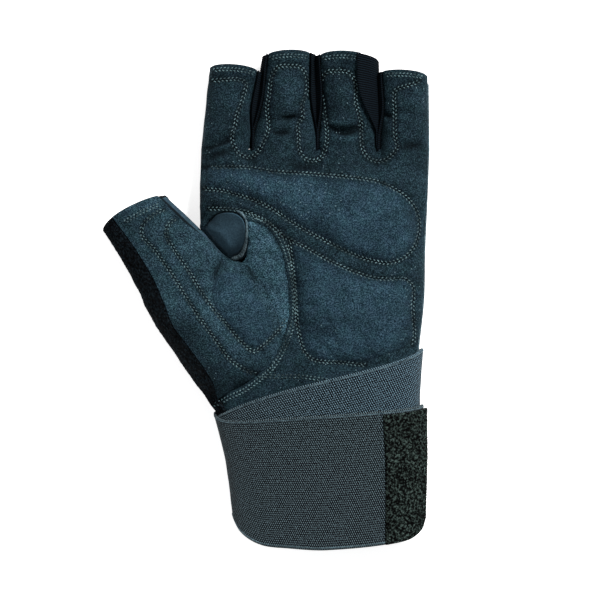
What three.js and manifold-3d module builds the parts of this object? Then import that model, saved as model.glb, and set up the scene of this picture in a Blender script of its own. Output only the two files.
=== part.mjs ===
// A fingerless weightlifting glove for the left hand, with a long elastic wrist wrap.
// It lies on its back with the palm up: x runs from the thumb side to the little finger,
// y from the wrist to the fingertips and z up. Lengths are in millimetres.
// Every panel is a thin sheet with its own edge, and the hand's space inside stays open.
import * as THREE from "three";
import { mergeVertices } from "three/addons/utils/BufferGeometryUtils.js";
import Module from "manifold-3d";

const wasm = await Module();
wasm.setup();

// Driving dimensions
const palmWidth = 106; // across the finger crotches, laid flat
const palmLength = 117; // wrist line to finger crotches
const palmDepth = 27; // floor to the top of the palm, without its pads
const fingerLength = 46; // finger crotches to the longest mouth
const fingerDepth = 17; // floor to the top of a finger stall
const fingerCurl = 2.4; // how far the mouths rise off the floor
const cuffLength = 29; // how far the glove runs down inside the wrap
const webbingWidth = 62; // the elastic's own width
const suedeThickness = 1.6;
const backThickness = 1.5;
const ribThickness = 1.1;
const gussetThickness = 1.2;
const webbingThickness = 1.3;
const closureThickness = 1.2;
const upperPadThickness = 3.2;
const heelPadThickness = 3.4;
const thumbPadThickness = 2.6;
const padSlope = 11; // distance over which a pad swells to its full thickness
const slitHalfWidth = 1.6; // how far a stall's side stands back from the crotch's middle
const seamGap = 0.4; // between two sewn panels
const layerGap = 0.35; // between a layer and what it lies on

// Mesh fineness
const wrapSteps = 78;
const thumbSteps = 18;
const insetSteps = 8;
const outlineSteps = 32;
const keyholeSteps = 60;
const gussetRings = 4;
const webSteps = 4;
const weldTolerance = 1e-4;
const sliverTolerance = 0.02;

// Numbers and curves
const mix = (a, b, t) => a + (b - a) * t;
const clamp = (x, low, high) => Math.min(high, Math.max(low, x));
const smooth = (a, b, x) => {
  const t = clamp((x - a) / (b - a), 0, 1);
  return t * t * (3 - 2 * t);
};
const arch = (share) => Math.sin(Math.PI * clamp(share, 0, 1));
const turnOf = (share) => (1 - Math.cos(Math.PI * share)) / 2;
const vector = (x, y, z) => new THREE.Vector3(x, y, z);
const evenly = (from, to, count) => Array.from({ length: count + 1 }, (_, i) => mix(from, to, i / count));

// A smooth curve through one named column of a table, read at any place along "at".
function columnOf(rows, key) {
  const last = rows.length - 1;
  const slope = (i) => {
    const a = rows[Math.max(0, i - 1)];
    const b = rows[Math.min(last, i + 1)];
    return (b[key] - a[key]) / (b.at - a.at);
  };
  return (at) => {
    if (at <= rows[0].at) return rows[0][key] + slope(0) * (at - rows[0].at);
    if (at >= rows[last].at) return rows[last][key] + slope(last) * (at - rows[last].at);
    let i = 0;
    while (rows[i + 1].at < at) i += 1;
    const h = rows[i + 1].at - rows[i].at;
    const t = (at - rows[i].at) / h;
    return (
      rows[i][key] * (1 + 2 * t) * (1 - t) ** 2 +
      slope(i) * h * t * (1 - t) ** 2 +
      rows[i + 1][key] * t * t * (3 - 2 * t) +
      slope(i + 1) * h * t * t * (t - 1)
    );
  };
}

function columnsOf(rows) {
  const columns = {};
  for (const key of Object.keys(rows[0])) columns[key] = columnOf(rows, key);
  return columns;
}

// Solids from sheets: outer points, and an inner face one thickness in along their normals.
function thicken(points, normals, quads, thickness) {
  const count = points.length;
  const inner = points.map((p, i) => p.clone().addScaledVector(normals[i], -thickness));
  const position = points.concat(inner).flatMap((p) => [p.x, p.y, p.z]);
  const index = [];
  const edges = new Map();
  for (const [a, b, c, d] of quads) {
    index.push(a, b, c, a, c, d);
    index.push(a + count, c + count, b + count, a + count, d + count, c + count);
    for (const [from, to] of [[a, b], [b, c], [c, d], [d, a]]) {
      const opposite = `${to},${from}`;
      if (edges.has(opposite)) edges.delete(opposite);
      else edges.set(`${from},${to}`, [from, to]);
    }
  }
  for (const [from, to] of edges.values()) {
    index.push(from, from + count, to + count, from, to + count, to);
  }
  const geometry = new THREE.BufferGeometry();
  geometry.setAttribute("position", new THREE.Float32BufferAttribute(position, 3));
  geometry.setIndex(index);
  return geometry;
}

// The outward normal of a surface point(u, v), from two small steps each way.
function normalOf(point, u, v, facing) {
  const step = 1e-3;
  const along = point(u + step, v).sub(point(u - step, v));
  const across = point(u, v + step).sub(point(u, v - step));
  return along.cross(across).normalize().multiplyScalar(facing);
}

// The quads of a grid, numbering only the corners they use. Facing 1 suits a grid whose first
// axis turned to its second points outwards, and -1 the opposite.
function quadsOf(columns, rows, facing, keep, makeCorner) {
  const number = new Map();
  const corner = (i, j) => {
    const key = i * rows + j;
    if (!number.has(key)) {
      number.set(key, number.size);
      makeCorner(i, j);
    }
    return number.get(key);
  };
  const quads = [];
  for (let i = 0; i + 1 < columns; i += 1) {
    for (let j = 0; j + 1 < rows; j += 1) {
      if (!keep(i, j)) continue;
      const quad = [corner(i, j), corner(i + 1, j), corner(i + 1, j + 1), corner(i, j + 1)];
      quads.push(facing > 0 ? quad : quad.reverse());
    }
  }
  return quads;
}

// A thick sheet over the grid us x vs of point(u, v); keep(u, v) says which cells hold cloth.
function gridSheet(point, us, vs, thickness, facing, keep = () => true) {
  const points = [];
  const normals = [];
  const holds = (i, j) => keep((us[i] + us[i + 1]) / 2, (vs[j] + vs[j + 1]) / 2);
  const quads = quadsOf(us.length, vs.length, facing, holds, (i, j) => {
    points.push(point(us[i], vs[j]));
    normals.push(normalOf(point, us[i], vs[j], facing));
  });
  return thicken(points, normals, quads, thickness);
}

// A thick sheet through found rows of points, with normals summed from its own faces.
function foundSheet(rows, thickness) {
  const points = [];
  const quads = quadsOf(rows.length, rows[0].length, 1, () => true, (i, j) => points.push(rows[i][j]));
  const normals = points.map(() => vector(0, 0, 0));
  for (const quad of quads) {
    const [a, b, c, d] = quad.map((n) => points[n]);
    const face = c.clone().sub(a).cross(d.clone().sub(b));
    for (const n of quad) normals[n].add(face);
  }
  return thicken(points, normals.map((n) => n.normalize()), quads, thickness);
}

// A body between two grids of points that share their pattern, given as rows of outer and inner.
function layeredSheet(outer, inner, facing = 1, keep = () => true) {
  const points = [];
  const inward = [];
  const quads = quadsOf(outer.length, outer[0].length, facing, keep, (i, j) => {
    points.push(outer[i][j]);
    inward.push(outer[i][j].clone().sub(inner[i][j]));
  });
  return thicken(points, inward, quads, 1);
}

function solidOf(geometry) {
  const bare = geometry.clone();
  for (const name of ["normal", "uv"]) bare.deleteAttribute(name);
  const merged = mergeVertices(bare, weldTolerance);
  return new wasm.Manifold(
    new wasm.Mesh({
      numProp: 3,
      vertProperties: merged.attributes.position.array,
      triVerts: new Uint32Array(merged.index.array),
    }),
  );
}

function geometryOf(solid) {
  const mesh = solid.simplify(sliverTolerance).getMesh();
  const geometry = new THREE.BufferGeometry();
  geometry.setAttribute("position", new THREE.BufferAttribute(mesh.vertProperties, 3));
  geometry.setIndex(new THREE.BufferAttribute(mesh.triVerts, 1));
  return geometry;
}

// Plan outlines, in shares of the palm's width and length
function outlineOf(rows, count) {
  const places = rows.map(({ x, y }) => vector(palmWidth * x, palmLength * y, 0));
  const curve = new THREE.CatmullRomCurve3(places, true, "centripetal");
  return Array.from({ length: count }, (_, i) => curve.getPoint(i / count));
}

// A clockwise outline moved inwards.
function inset(outline, distance) {
  return outline.map((p, i) => {
    const before = outline[(i + outline.length - 1) % outline.length];
    const after = outline[(i + 1) % outline.length];
    const along = after.clone().sub(before).normalize();
    return vector(p.x + along.y * distance, p.y - along.x * distance, 0);
  });
}

// A tall block over a plan outline, for cutting sheets.
function blockOver(outline) {
  const shape = new THREE.Shape(outline.map((p) => new THREE.Vector2(p.x, p.y)));
  const options = { depth: 4 * palmDepth, bevelEnabled: false };
  return solidOf(new THREE.ExtrudeGeometry(shape, options).translate(0, 0, -palmDepth));
}

// Distance from a place in the plan to the nearest point of a line, closed or open.
function distanceTo(line, x, y, closed) {
  let nearest = Infinity;
  for (let i = 0; i + (closed ? 0 : 1) < line.length; i += 1) {
    const a = line[i];
    const b = line[(i + 1) % line.length];
    const along = (x - a.x) * (b.x - a.x) + (y - a.y) * (b.y - a.y);
    const t = clamp(along / a.distanceToSquared(b), 0, 1);
    nearest = Math.min(nearest, Math.hypot(x - mix(a.x, b.x, t), y - mix(a.y, b.y, t)));
  }
  return nearest;
}

// How far inside a closed outline a place lies; negative outside.
function depthInside(outline, x, y) {
  let inside = false;
  outline.forEach((a, i) => {
    const b = outline[(i + 1) % outline.length];
    if (a.y > y !== b.y > y && x < a.x + ((y - a.y) / (b.y - a.y)) * (b.x - a.x)) inside = !inside;
  });
  return distanceTo(outline, x, y, true) * (inside ? 1 : -1);
}

// The glove's body. Rows run from the wrap's lower edge to the finger crotches: "at" and the
// two sides are shares of the palm's length and width, the heights are shares of its depth.
const bodyRows = [
  { at: -0.6, left: -0.324, right: 0.418, mid: 0.5, rise: 0.42, drop: 0.4 },
  { at: -0.25, left: -0.37, right: 0.43, mid: 0.49, rise: 0.45, drop: 0.4 },
  { at: 0.0, left: -0.437, right: 0.43, mid: 0.47, rise: 0.48, drop: 0.4 },
  { at: 0.2, left: -0.47, right: 0.444, mid: 0.46, rise: 0.52, drop: 0.43 },
  { at: 0.4, left: -0.492, right: 0.467, mid: 0.45, rise: 0.55, drop: 0.47 },
  { at: 0.6, left: -0.51, right: 0.472, mid: 0.44, rise: 0.56, drop: 0.475 },
  { at: 0.8, left: -0.516, right: 0.482, mid: 0.41, rise: 0.53, drop: 0.45 },
  { at: 1.0, left: -0.511, right: 0.491, mid: 0.32, rise: 0.4, drop: 0.36 },
];
const body = columnsOf(bodyRows);
const palmRoundness = 2.3;
const backRoundness = 4;
const backSpread = 0.6; // spreads a section's points evenly over its flat back

// The back is held off the floor at the wrist by the wrap's layers beneath it.
const layerPitch = webbingThickness + layerGap;
const wrapStack = layerGap + layerPitch + webbingThickness;
const lift = { full: 0.16, none: 0.4 }; // shares of the palm's length
const restHeight = (y) => wrapStack * (1 - smooth(lift.full, lift.none, y / palmLength));

// The four stalls. Crotches and mouths are shares of the palm's width, mouth heights shares of
// the finger length at the left, the crown and the right. A fold crosses the palm side at
// "foldAt" of a stall's length, and is "fold" of the finger depth deep.
const fingerRows = [
  {
    name: "index", from: -0.511, to: -0.295, mouthFrom: -0.472, mouthTo: -0.246,
    left: 0.826, crown: 0.852, right: 0.765, foldAt: 0.12, fold: 0.05,
  },
  {
    name: "middle", from: -0.295, to: 0.005, mouthFrom: -0.229, mouthTo: -0.018,
    left: 0.939, crown: 1.0, right: 0.959, foldAt: 0.26, fold: 0.11,
  },
  {
    name: "ring", from: 0.005, to: 0.274, mouthFrom: -0.003, mouthTo: 0.26,
    left: 0.935, crown: 0.989, right: 0.887, foldAt: 0.2, fold: 0.11,
  },
  {
    name: "little", from: 0.274, to: 0.491, mouthFrom: 0.273, mouthTo: 0.487,
    left: 0.776, crown: 0.796, right: 0.735, foldAt: 0.45, fold: 0.05,
  },
];
const foldWidth = 0.055; // share of a stall's length
const lastFinger = fingerRows.length - 1;
const webShare = 0.12; // share of a stall's half turn that its rib covers at each side
const rolledFinger = 2; // the ring stall lies rolled, so its rib shows wide on the right
const rolledShare = 0.33; // share of its half turn that the rib covers there, at the mouth
const sideSeam = 0.004; // share of a half turn between palm and back at the outer sides
const fingerMid = 0.5 * fingerDepth;
const flattening = 0.6; // the back would bulge this far through the floor if it weren't flat
const slit = { opens: 0.16, narrowsFrom: 0.4, narrowsTo: 0.9, mouth: 0.45 };
const valleyLength = 0.125; // share of the palm's length over which the stalls fade out

const fingerAt = (u) => clamp(Math.floor(u), 0, lastFinger);
const isOuter = (finger, f) => (finger === 0 && f < 0.5) || (finger === lastFinger && f > 0.5);

// Height factor round a stall below its crotch, where the web keeps the sides up.
const crotchLift = (finger, f) => Math.max(arch(f), isOuter(finger, f) ? 0 : arch(webShare));

// Side (1 palm, -1 back) of the glove below the crotches; u runs 0 to 4 across the fingers.
function bodyPoint(u, y, side) {
  const finger = fingerAt(u);
  const row = fingerRows[finger];
  const first = fingerRows[0].from;
  const final = fingerRows[lastFinger].to;
  const share = mix(row.from, row.to, turnOf(u - finger));
  const reach = clamp((2 * (share - first)) / (final - first) - 1, -1, 1);
  const at = y / palmLength;
  const x = palmWidth * mix(body.left(at), body.right(at), (1 + reach) / 2);
  const mid = palmDepth * body.mid(at);
  const stalls = smooth(1 - valleyLength, 1, at);
  const round = crotchLift(finger, u - finger);
  if (side > 0) {
    const palm = mid + palmDepth * body.rise(at) * Math.sqrt(1 - Math.abs(reach) ** palmRoundness);
    return vector(x, y, mix(palm, fingerMid + (fingerDepth / 2) * round, stalls));
  }
  const back = mid - palmDepth * body.drop(at) * Math.sqrt(1 - Math.abs(reach) ** backRoundness);
  const stall = fingerMid - (fingerDepth / 2 + flattening) * round;
  return vector(x, y, Math.max(mix(back, stall, stalls), restHeight(y)));
}

// A point of a stall: f runs 0 to 1 across it, t from the crotch to the mouth.
function stallPoint(finger, f, t, side) {
  const row = fingerRows[finger];
  const narrowed = mix(1, slit.mouth, smooth(slit.narrowsFrom, slit.narrowsTo, t));
  const open = slitHalfWidth * smooth(0, slit.opens, t) * narrowed;
  const from = palmWidth * mix(row.from, row.mouthFrom, t) + (finger > 0 ? open : 0);
  const to = palmWidth * mix(row.to, row.mouthTo, t) - (finger < lastFinger ? open : 0);
  const crown = row.crown - (row.left + row.right) / 2;
  const mouth = fingerLength * (mix(row.left, row.right, f) + crown * arch(f));
  const mid = fingerMid + fingerCurl * t * t;
  const fold = Math.exp(-(((t - row.foldAt) / foldWidth) ** 2));
  const dent = row.fold * fingerDepth * arch(f) ** 2 * fold;
  const z =
    side > 0
      ? mid + (fingerDepth / 2) * arch(f) - dent
      : Math.max(mid - (fingerDepth / 2 + flattening) * arch(f), 0);
  return vector(mix(from, to, turnOf(f)), palmLength + mouth * t, z);
}

// Where the palm side of a stall ends on the right, after t of its length.
function palmEdge(finger, t) {
  const roll = finger === rolledFinger ? smooth(0, 0.75, t) : 0;
  return 1 - mix(webShare, rolledShare, roll);
}

// The palm side gives the right half of its columns up to the rib there.
function palmStallPoint(finger, f, t) {
  const squeeze = (palmEdge(finger, t) - 0.5) / (0.5 - webShare);
  return stallPoint(finger, f > 0.5 ? 0.5 + (f - 0.5) * squeeze : f, t, 1);
}

// Both together: v is a share of the palm's length up to 1, and 1 to 2 along the stalls.
const glovePoint = (side) => (u, v) => {
  const finger = fingerAt(u);
  if (v <= 1) return bodyPoint(u, palmLength * v, side);
  if (side > 0) return palmStallPoint(finger, u - finger, v - 1);
  return stallPoint(finger, u - finger, v - 1, side);
};

const acrossStall = [0, webShare, 0.24, 0.37, 0.5, 0.63, 0.76, 1 - webShare];
const acrossGlove = fingerRows.flatMap((_, i) => acrossStall.map((f) => i + f));
acrossGlove.push(fingerRows.length - sideSeam);
acrossGlove[0] = sideSeam;
const upGlove = [-0.1, 0.05, 0.18, 0.3, 0.42, 0.54, 0.66, 0.77, 0.86, 0.92, 0.965, 1];
const upStalls = [1.1, 1.16, 1.21, 1.26, 1.33, 1.45, 1.62, 1.8, 2];
const alongGlove = [-cuffLength / palmLength, ...upGlove, ...upStalls];
const alongBack = [-cuffLength / palmLength, ...upGlove, 1.12, 1.3, 1.52, 1.76, 2];

// Past the crotches, the cells beside a rib belong to the rib.
function holdsCloth(u, v) {
  const f = u - fingerAt(u);
  return v < 1 || isOuter(fingerAt(u), f) || (f > webShare && f < 1 - webShare);
}

// Height of the palm's face over a place in the plan, below the crotches.
function palmHeight(x, y) {
  const at = y / palmLength;
  const left = palmWidth * body.left(at);
  const across = clamp((x - left) / (palmWidth * body.right(at) - left), 0, 1);
  const share = mix(fingerRows[0].from, fingerRows[lastFinger].to, across);
  const finger = Math.max(0, fingerRows.findLastIndex((row) => row.from <= share));
  const row = fingerRows[finger];
  const f = Math.acos(clamp(1 - (2 * (share - row.from)) / (row.to - row.from), -1, 1)) / Math.PI;
  return bodyPoint(finger + f, y, 1).z;
}

// The keyhole in the palm that the thumb is sewn into, clockwise from the crotch of the thumb.
const keyholeRows = [
  { x: -0.6, y: 0.66 }, { x: -0.507, y: 0.694 }, { x: -0.48, y: 0.722 }, { x: -0.441, y: 0.746 },
  { x: -0.392, y: 0.754 }, { x: -0.348, y: 0.746 }, { x: -0.313, y: 0.722 }, { x: -0.242, y: 0.702 },
  { x: -0.194, y: 0.663 }, { x: -0.159, y: 0.603 }, { x: -0.134, y: 0.523 }, { x: -0.121, y: 0.435 },
  { x: -0.119, y: 0.339 }, { x: -0.145, y: 0.251 }, { x: -0.207, y: 0.144 }, { x: -0.26, y: 0.1 },
  { x: -0.326, y: 0.056 }, { x: -0.392, y: 0.028 }, { x: -0.454, y: 0.0 }, { x: -0.6, y: -0.01 },
];
const keyhole = outlineOf(keyholeRows, keyholeSteps);
const insideKeyhole = blockOver(inset(keyhole, seamGap));

function palmPanel() {
  const sheet = gridSheet(glovePoint(1), acrossGlove, alongGlove, suedeThickness, 1, holdsCloth);
  return geometryOf(solidOf(sheet).subtract(blockOver(keyhole)));
}

// The thumb, from its mouth (at 0) to the wrist (at 1). Plan places are shares of the palm's
// width and length: the outer silhouette, the inner edge on the palm face and the seam to the
// glove's back. Heights are shares of the palm's depth; "valley" is 1 where the inner edge
// lies in a fold of the palm instead of turning under, and "fleece" is where the suede starts.
const thumbRows = [
  {
    at: 0.0, outerX: -0.941, outerY: 0.675, innerX: -0.665, innerY: 0.812, backX: -0.665, backY: 0.812,
    outerZ: 0.4, innerZ: 0.4, crown: 0.35, backZ: 0.4, belly: 0.34, valley: 0, fleece: 0.3,
  },
  {
    at: 0.125, outerX: -0.864, outerY: 0.567, innerX: -0.573, innerY: 0.734, backX: -0.576, backY: 0.732,
    outerZ: 0.39, innerZ: 0.4, crown: 0.38, backZ: 0.39, belly: 0.36, valley: 0, fleece: 0.3,
  },
  {
    at: 0.25, outerX: -0.793, outerY: 0.447, innerX: -0.485, innerY: 0.655, backX: -0.512, backY: 0.655,
    outerZ: 0.38, innerZ: 0.42, crown: 0.41, backZ: 0.34, belly: 0.36, valley: 0, fleece: 0.3,
  },
  {
    at: 0.375, outerX: -0.745, outerY: 0.355, innerX: -0.401, innerY: 0.575, backX: -0.49, backY: 0.56,
    outerZ: 0.38, innerZ: 0.47, crown: 0.46, backZ: 0.2, belly: 0.32, valley: 0.35, fleece: 0.31,
  },
  {
    at: 0.5, outerX: -0.692, outerY: 0.271, innerX: -0.286, innerY: 0.527, backX: -0.475, backY: 0.46,
    outerZ: 0.39, innerZ: 0.63, crown: 0.48, backZ: 0.13, belly: 0.28, valley: 0.9, fleece: 0.31,
  },
  {
    at: 0.625, outerX: -0.634, outerY: 0.196, innerX: -0.207, innerY: 0.407, backX: -0.46, backY: 0.36,
    outerZ: 0.4, innerZ: 0.8, crown: 0.42, backZ: 0.13, belly: 0.24, valley: 1, fleece: 0.33,
  },
  {
    at: 0.75, outerX: -0.577, outerY: 0.12, innerX: -0.15, innerY: 0.255, backX: -0.448, backY: 0.25,
    outerZ: 0.42, innerZ: 0.96, crown: 0.31, backZ: 0.15, belly: 0.18, valley: 1, fleece: 0.36,
  },
  {
    at: 0.875, outerX: -0.515, outerY: 0.044, innerX: -0.21, innerY: 0.135, backX: -0.44, backY: 0.13,
    outerZ: 0.45, innerZ: 0.91, crown: 0.2, backZ: 0.22, belly: 0.12, valley: 1, fleece: 0.4,
  },
  {
    at: 1.0, outerX: -0.471, outerY: -0.012, innerX: -0.385, innerY: 0.034, backX: -0.44, backY: 0.015,
    outerZ: 0.49, innerZ: 0.72, crown: 0.06, backZ: 0.36, belly: 0.05, valley: 1, fleece: 0.45,
  },
];
const thumb = columnsOf(thumbRows);
const mouthBow = 0.035; // how far the thumb's mouth bulges, as a share of the thumb's run
const mouthFade = 4; // power by which the bulge fades towards the wrist

// The fold that the thumb makes over its root, in shares of the palm's width and length.
const creaseRows = [
  { x: -0.368, y: 0.57 }, { x: -0.425, y: 0.545 }, { x: -0.455, y: 0.505 }, { x: -0.475, y: 0.44 },
];
const crease = creaseRows.map(({ x, y }) => vector(palmWidth * x, palmLength * y, 0));
const creaseDepth = 2.4;
const creaseWidth = 3.6;

// s runs 0 to 1 from the outer silhouette to the inner edge, over the palm side or the back.
function thumbPoint(s, t, side) {
  const at = t - mouthBow * arch(s) * (1 - clamp(t, 0, 1)) ** mouthFade;
  const fold = 1 - Math.cos((Math.PI * s) / 2);
  const share = side > 0 ? mix(turnOf(s), fold, thumb.valley(at)) : turnOf(s);
  const edge = side > 0 ? "inner" : "back";
  const x = palmWidth * mix(thumb.outerX(at), thumb[`${edge}X`](at), share);
  const y = palmLength * mix(thumb.outerY(at), thumb[`${edge}Y`](at), share);
  const level = mix(thumb.outerZ(at), thumb[`${edge}Z`](at), smooth(0, 1, s));
  const swell = side > 0 ? thumb.crown(at) : -thumb.belly(at);
  const z = palmDepth * (level + swell * Math.sin(Math.PI * s));
  if (side < 0) return vector(x, y, Math.max(z, 0));
  const away = distanceTo(crease, x, y, false) / creaseWidth;
  return vector(x, y, z - creaseDepth * Math.exp(-(away ** 2)));
}

const acrossThumb = [0, 0.12, 0.25, 0.38, 0.5, 0.6, 0.7, 0.8, 0.9, 1];
const alongThumb = evenly(0, 1, thumbSteps);
const fleeceGap = 0.012; // share of the half turn between suede and fleece
const innerGap = 0.006; // the same at the inner edge
const suedePoint = (s, t) => thumbPoint(mix(thumb.fleece(t) + fleeceGap, 1 - innerGap, s), t, 1);

// The thumb's suede lies in the keyhole, or left of the palm altogether.
const palmLeft = -0.525 * palmWidth;
function thumbSuede() {
  const far = 2 * palmWidth;
  const places = [[-far, -far], [palmLeft, -far], [palmLeft, far], [-far, far]];
  const corners = places.map(([x, y]) => vector(x, y, 0));
  const sheet = gridSheet(suedePoint, acrossThumb, alongThumb, suedeThickness, -1);
  return geometryOf(solidOf(sheet).intersect(insideKeyhole.add(blockOver(corners))));
}

// The fleece goes round the silhouette: q runs from the suede (-1) by the silhouette (0) to 1.
function fleecePoint(q, t) {
  return q < 0 ? thumbPoint(-q * thumb.fleece(t), t, 1) : thumbPoint(q, t, -1);
}
const roundFleece = [-1, -0.66, -0.33, 0, 0.12, 0.25, 0.4, 0.55, 0.7, 0.85, 1 - innerGap];

// The inset beside the thumb's crease: rows run down the thumb's edge and the keyhole's.
const insetRows = [
  { at: 0, innerX: -0.308, innerY: 0.571, outerX: -0.296, outerY: 0.705, height: 0.56 },
  { at: 0.25, innerX: -0.28, innerY: 0.535, outerX: -0.203, outerY: 0.665, height: 0.62 },
  { at: 0.5, innerX: -0.24, innerY: 0.47, outerX: -0.141, outerY: 0.54, height: 0.7 },
  { at: 0.75, innerX: -0.19, innerY: 0.375, outerX: -0.127, outerY: 0.42, height: 0.83 },
  { at: 1, innerX: -0.15, innerY: 0.29, outerX: -0.128, outerY: 0.31, height: 0.93 },
];
const insetAt = columnsOf(insetRows);
const insetSag = 0.05; // share of the palm's depth
const acrossInset = [-0.15, 0.15, 0.4, 0.65, 0.9, 1.15]; // past both edges, for the cut
const insetEnd = 0.9; // it stops short of its own point
const thumbEdgeFrom = 0.3; // the stretch of the thumb's inner edge that bounds the inset
const thumbEdgeTo = 1.02;
const thumbEdgeSteps = 24;

function insetPoint(s, t) {
  const x = palmWidth * mix(insetAt.innerX(t), insetAt.outerX(t), s);
  const y = palmLength * mix(insetAt.innerY(t), insetAt.outerY(t), s);
  const sag = palmDepth * insetSag * arch(s);
  return vector(x, y, mix(palmDepth * insetAt.height(t), palmHeight(x, y), s) - sag);
}

function thumbInset() {
  const sheet = gridSheet(insetPoint, acrossInset, evenly(0, insetEnd, insetSteps), suedeThickness, -1);
  const edge = evenly(thumbEdgeFrom, thumbEdgeTo, thumbEdgeSteps).map((t) =>
    vector(palmWidth * thumb.innerX(t) + seamGap, palmLength * thumb.innerY(t) + seamGap / 2, 0),
  );
  const far = -2 * palmWidth;
  const thumbSide = [vector(far, edge[0].y, 0), ...edge, vector(far, edge[edge.length - 1].y, 0)];
  return geometryOf(solidOf(sheet).intersect(insideKeyhole).subtract(blockOver(thumbSide.reverse())));
}

// The smooth gusset in the thumb's crotch. Its rim follows the keyhole, then passes under the
// thumb's edge.
const gussetRimRows = [
  { x: -0.486, y: 0.682 }, { x: -0.483, y: 0.697 }, { x: -0.468, y: 0.712 }, { x: -0.44, y: 0.737 },
  { x: -0.392, y: 0.745 }, { x: -0.352, y: 0.738 }, { x: -0.325, y: 0.715 }, { x: -0.315, y: 0.675 },
  { x: -0.322, y: 0.625 }, { x: -0.345, y: 0.592 }, { x: -0.378, y: 0.58 }, { x: -0.41, y: 0.6 },
  { x: -0.45, y: 0.638 }, { x: -0.476, y: 0.668 },
];
const gussetCentre = { x: -0.4, y: 0.665, z: 0.66 };
const gussetUnderThumb = 0.38; // share of the palm's depth where it passes under the thumb
const thumbEdgeLine = { x: -0.4, y: 0.6, fall: 0.75 }; // the thumb's edge beside the gusset
const gussetDive = { low: -0.02, high: 0.06 }; // shares above that line over which it dives

function gussetPoint(rim, side, r) {
  const { x, y, z } = gussetCentre;
  const centre = vector(palmWidth * x, palmLength * y, palmDepth * z);
  const edge = rim[side % rim.length];
  const along = edge.x / palmWidth - thumbEdgeLine.x;
  const above = edge.y / palmLength - thumbEdgeLine.y + thumbEdgeLine.fall * along;
  const high = palmHeight(edge.x, edge.y) - layerGap;
  const edgeZ = mix(palmDepth * gussetUnderThumb, high, smooth(gussetDive.low, gussetDive.high, above));
  return vector(mix(centre.x, edge.x, r), mix(centre.y, edge.y, r), mix(centre.z, edgeZ, r * r));
}

// Rings about a centre: the disc closes on itself, with the centre's points merged.
function thumbGusset() {
  const rim = outlineOf(gussetRimRows, outlineSteps);
  const rings = evenly(0, 1, gussetRings);
  const turns = Array.from({ length: outlineSteps + 1 }, (_, i) => i);
  const outer = rings.map((r) => turns.map((i) => gussetPoint(rim, i, r)));
  const inner = outer.map((ring) => ring.map((p) => vector(p.x, p.y, p.z - gussetThickness)));
  return mergeVertices(layeredSheet(outer, inner, -1), weldTolerance);
}

// A pad sewn on a panel: it lies on the panel's own grid, is cut to its outline, and swells
// from a thin stitched rim to its full thickness.
const padRim = 0.35; // share of a pad's thickness left at its rim
const padSwell = 2.5; // power of its rounding
const padMargin = 6; // cells this near the outline are kept for the cut

function padOf(rows, thickness, facing, point, us, vs) {
  const outline = outlineOf(rows, outlineSteps);
  const base = us.map((u) => vs.map((v) => point(u, v)));
  const depths = base.map((column) => column.map((p) => depthInside(outline, p.x, p.y)));
  const raise = (p, height) => vector(p.x, p.y, p.z + layerGap + height);
  const swell = (depth) => mix(padRim, 1, 1 - (1 - clamp(depth / padSlope, 0, 1)) ** padSwell);
  const low = base.map((column) => column.map((p) => raise(p, 0)));
  const high = base.map((column, i) => column.map((p, j) => raise(p, thickness * swell(depths[i][j]))));
  const near = (i, j) => {
    const corners = [depths[i][j], depths[i + 1][j], depths[i][j + 1], depths[i + 1][j + 1]];
    return Math.max(...corners) > -padMargin;
  };
  return geometryOf(solidOf(layeredSheet(high, low, facing, near)).intersect(blockOver(outline)));
}

const upperPadRows = [
  { x: -0.478, y: 0.905 }, { x: -0.273, y: 0.912 }, { x: -0.053, y: 0.888 }, { x: 0.145, y: 0.872 },
  { x: 0.322, y: 0.832 }, { x: 0.412, y: 0.76 }, { x: 0.421, y: 0.66 }, { x: 0.374, y: 0.585 },
  { x: 0.278, y: 0.565 }, { x: 0.123, y: 0.609 }, { x: -0.053, y: 0.691 }, { x: -0.207, y: 0.776 },
  { x: -0.348, y: 0.832 }, { x: -0.478, y: 0.852 },
];
const heelPadRows = [
  { x: -0.098, y: 0.605 }, { x: 0.022, y: 0.549 }, { x: 0.145, y: 0.497 }, { x: 0.269, y: 0.465 },
  { x: 0.386, y: 0.455 }, { x: 0.408, y: 0.4 }, { x: 0.405, y: 0.3 }, { x: 0.36, y: 0.245 },
  { x: 0.211, y: 0.185 }, { x: 0.035, y: 0.165 }, { x: -0.048, y: 0.216 }, { x: -0.079, y: 0.319 },
  { x: -0.084, y: 0.459 },
];
const thumbPadRows = [
  { x: -0.401, y: 0.505 }, { x: -0.315, y: 0.497 }, { x: -0.25, y: 0.399 }, { x: -0.195, y: 0.295 },
  { x: -0.216, y: 0.248 }, { x: -0.278, y: 0.212 }, { x: -0.34, y: 0.248 }, { x: -0.397, y: 0.303 },
  { x: -0.45, y: 0.379 }, { x: -0.46, y: 0.44 }, { x: -0.442, y: 0.485 },
];

// The back stops at the thumb's seam, so its left edge follows the thumb's table there. Rows
// are read downwards, from just above the crotch of the thumb.
const backSeamTop = { at: -0.72, x: -0.485 };
const firstBackRow = 3; // the thumb's first row whose seam lies on the back
const backSeamRows = thumbRows.slice(firstBackRow).map((row) => ({ at: -row.backY, x: row.backX }));
const backSeamAt = columnOf([backSeamTop, ...backSeamRows], "x");
const backSeamSteps = 12;

function backPanel() {
  const sheet = gridSheet(glovePoint(-1), acrossGlove, alongBack, backThickness, -1, holdsCloth);
  const lowest = -backSeamRows[backSeamRows.length - 1].at;
  const seam = evenly(lowest, -backSeamTop.at, backSeamSteps).map((share) =>
    vector(palmWidth * backSeamAt(-share) + seamGap, palmLength * share, 0),
  );
  const far = -palmWidth;
  const thumbSide = [vector(far, seam[0].y, 0), ...seam, vector(far, seam[seam.length - 1].y, 0)];
  return geometryOf(solidOf(sheet).subtract(blockOver(thumbSide)));
}

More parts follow.
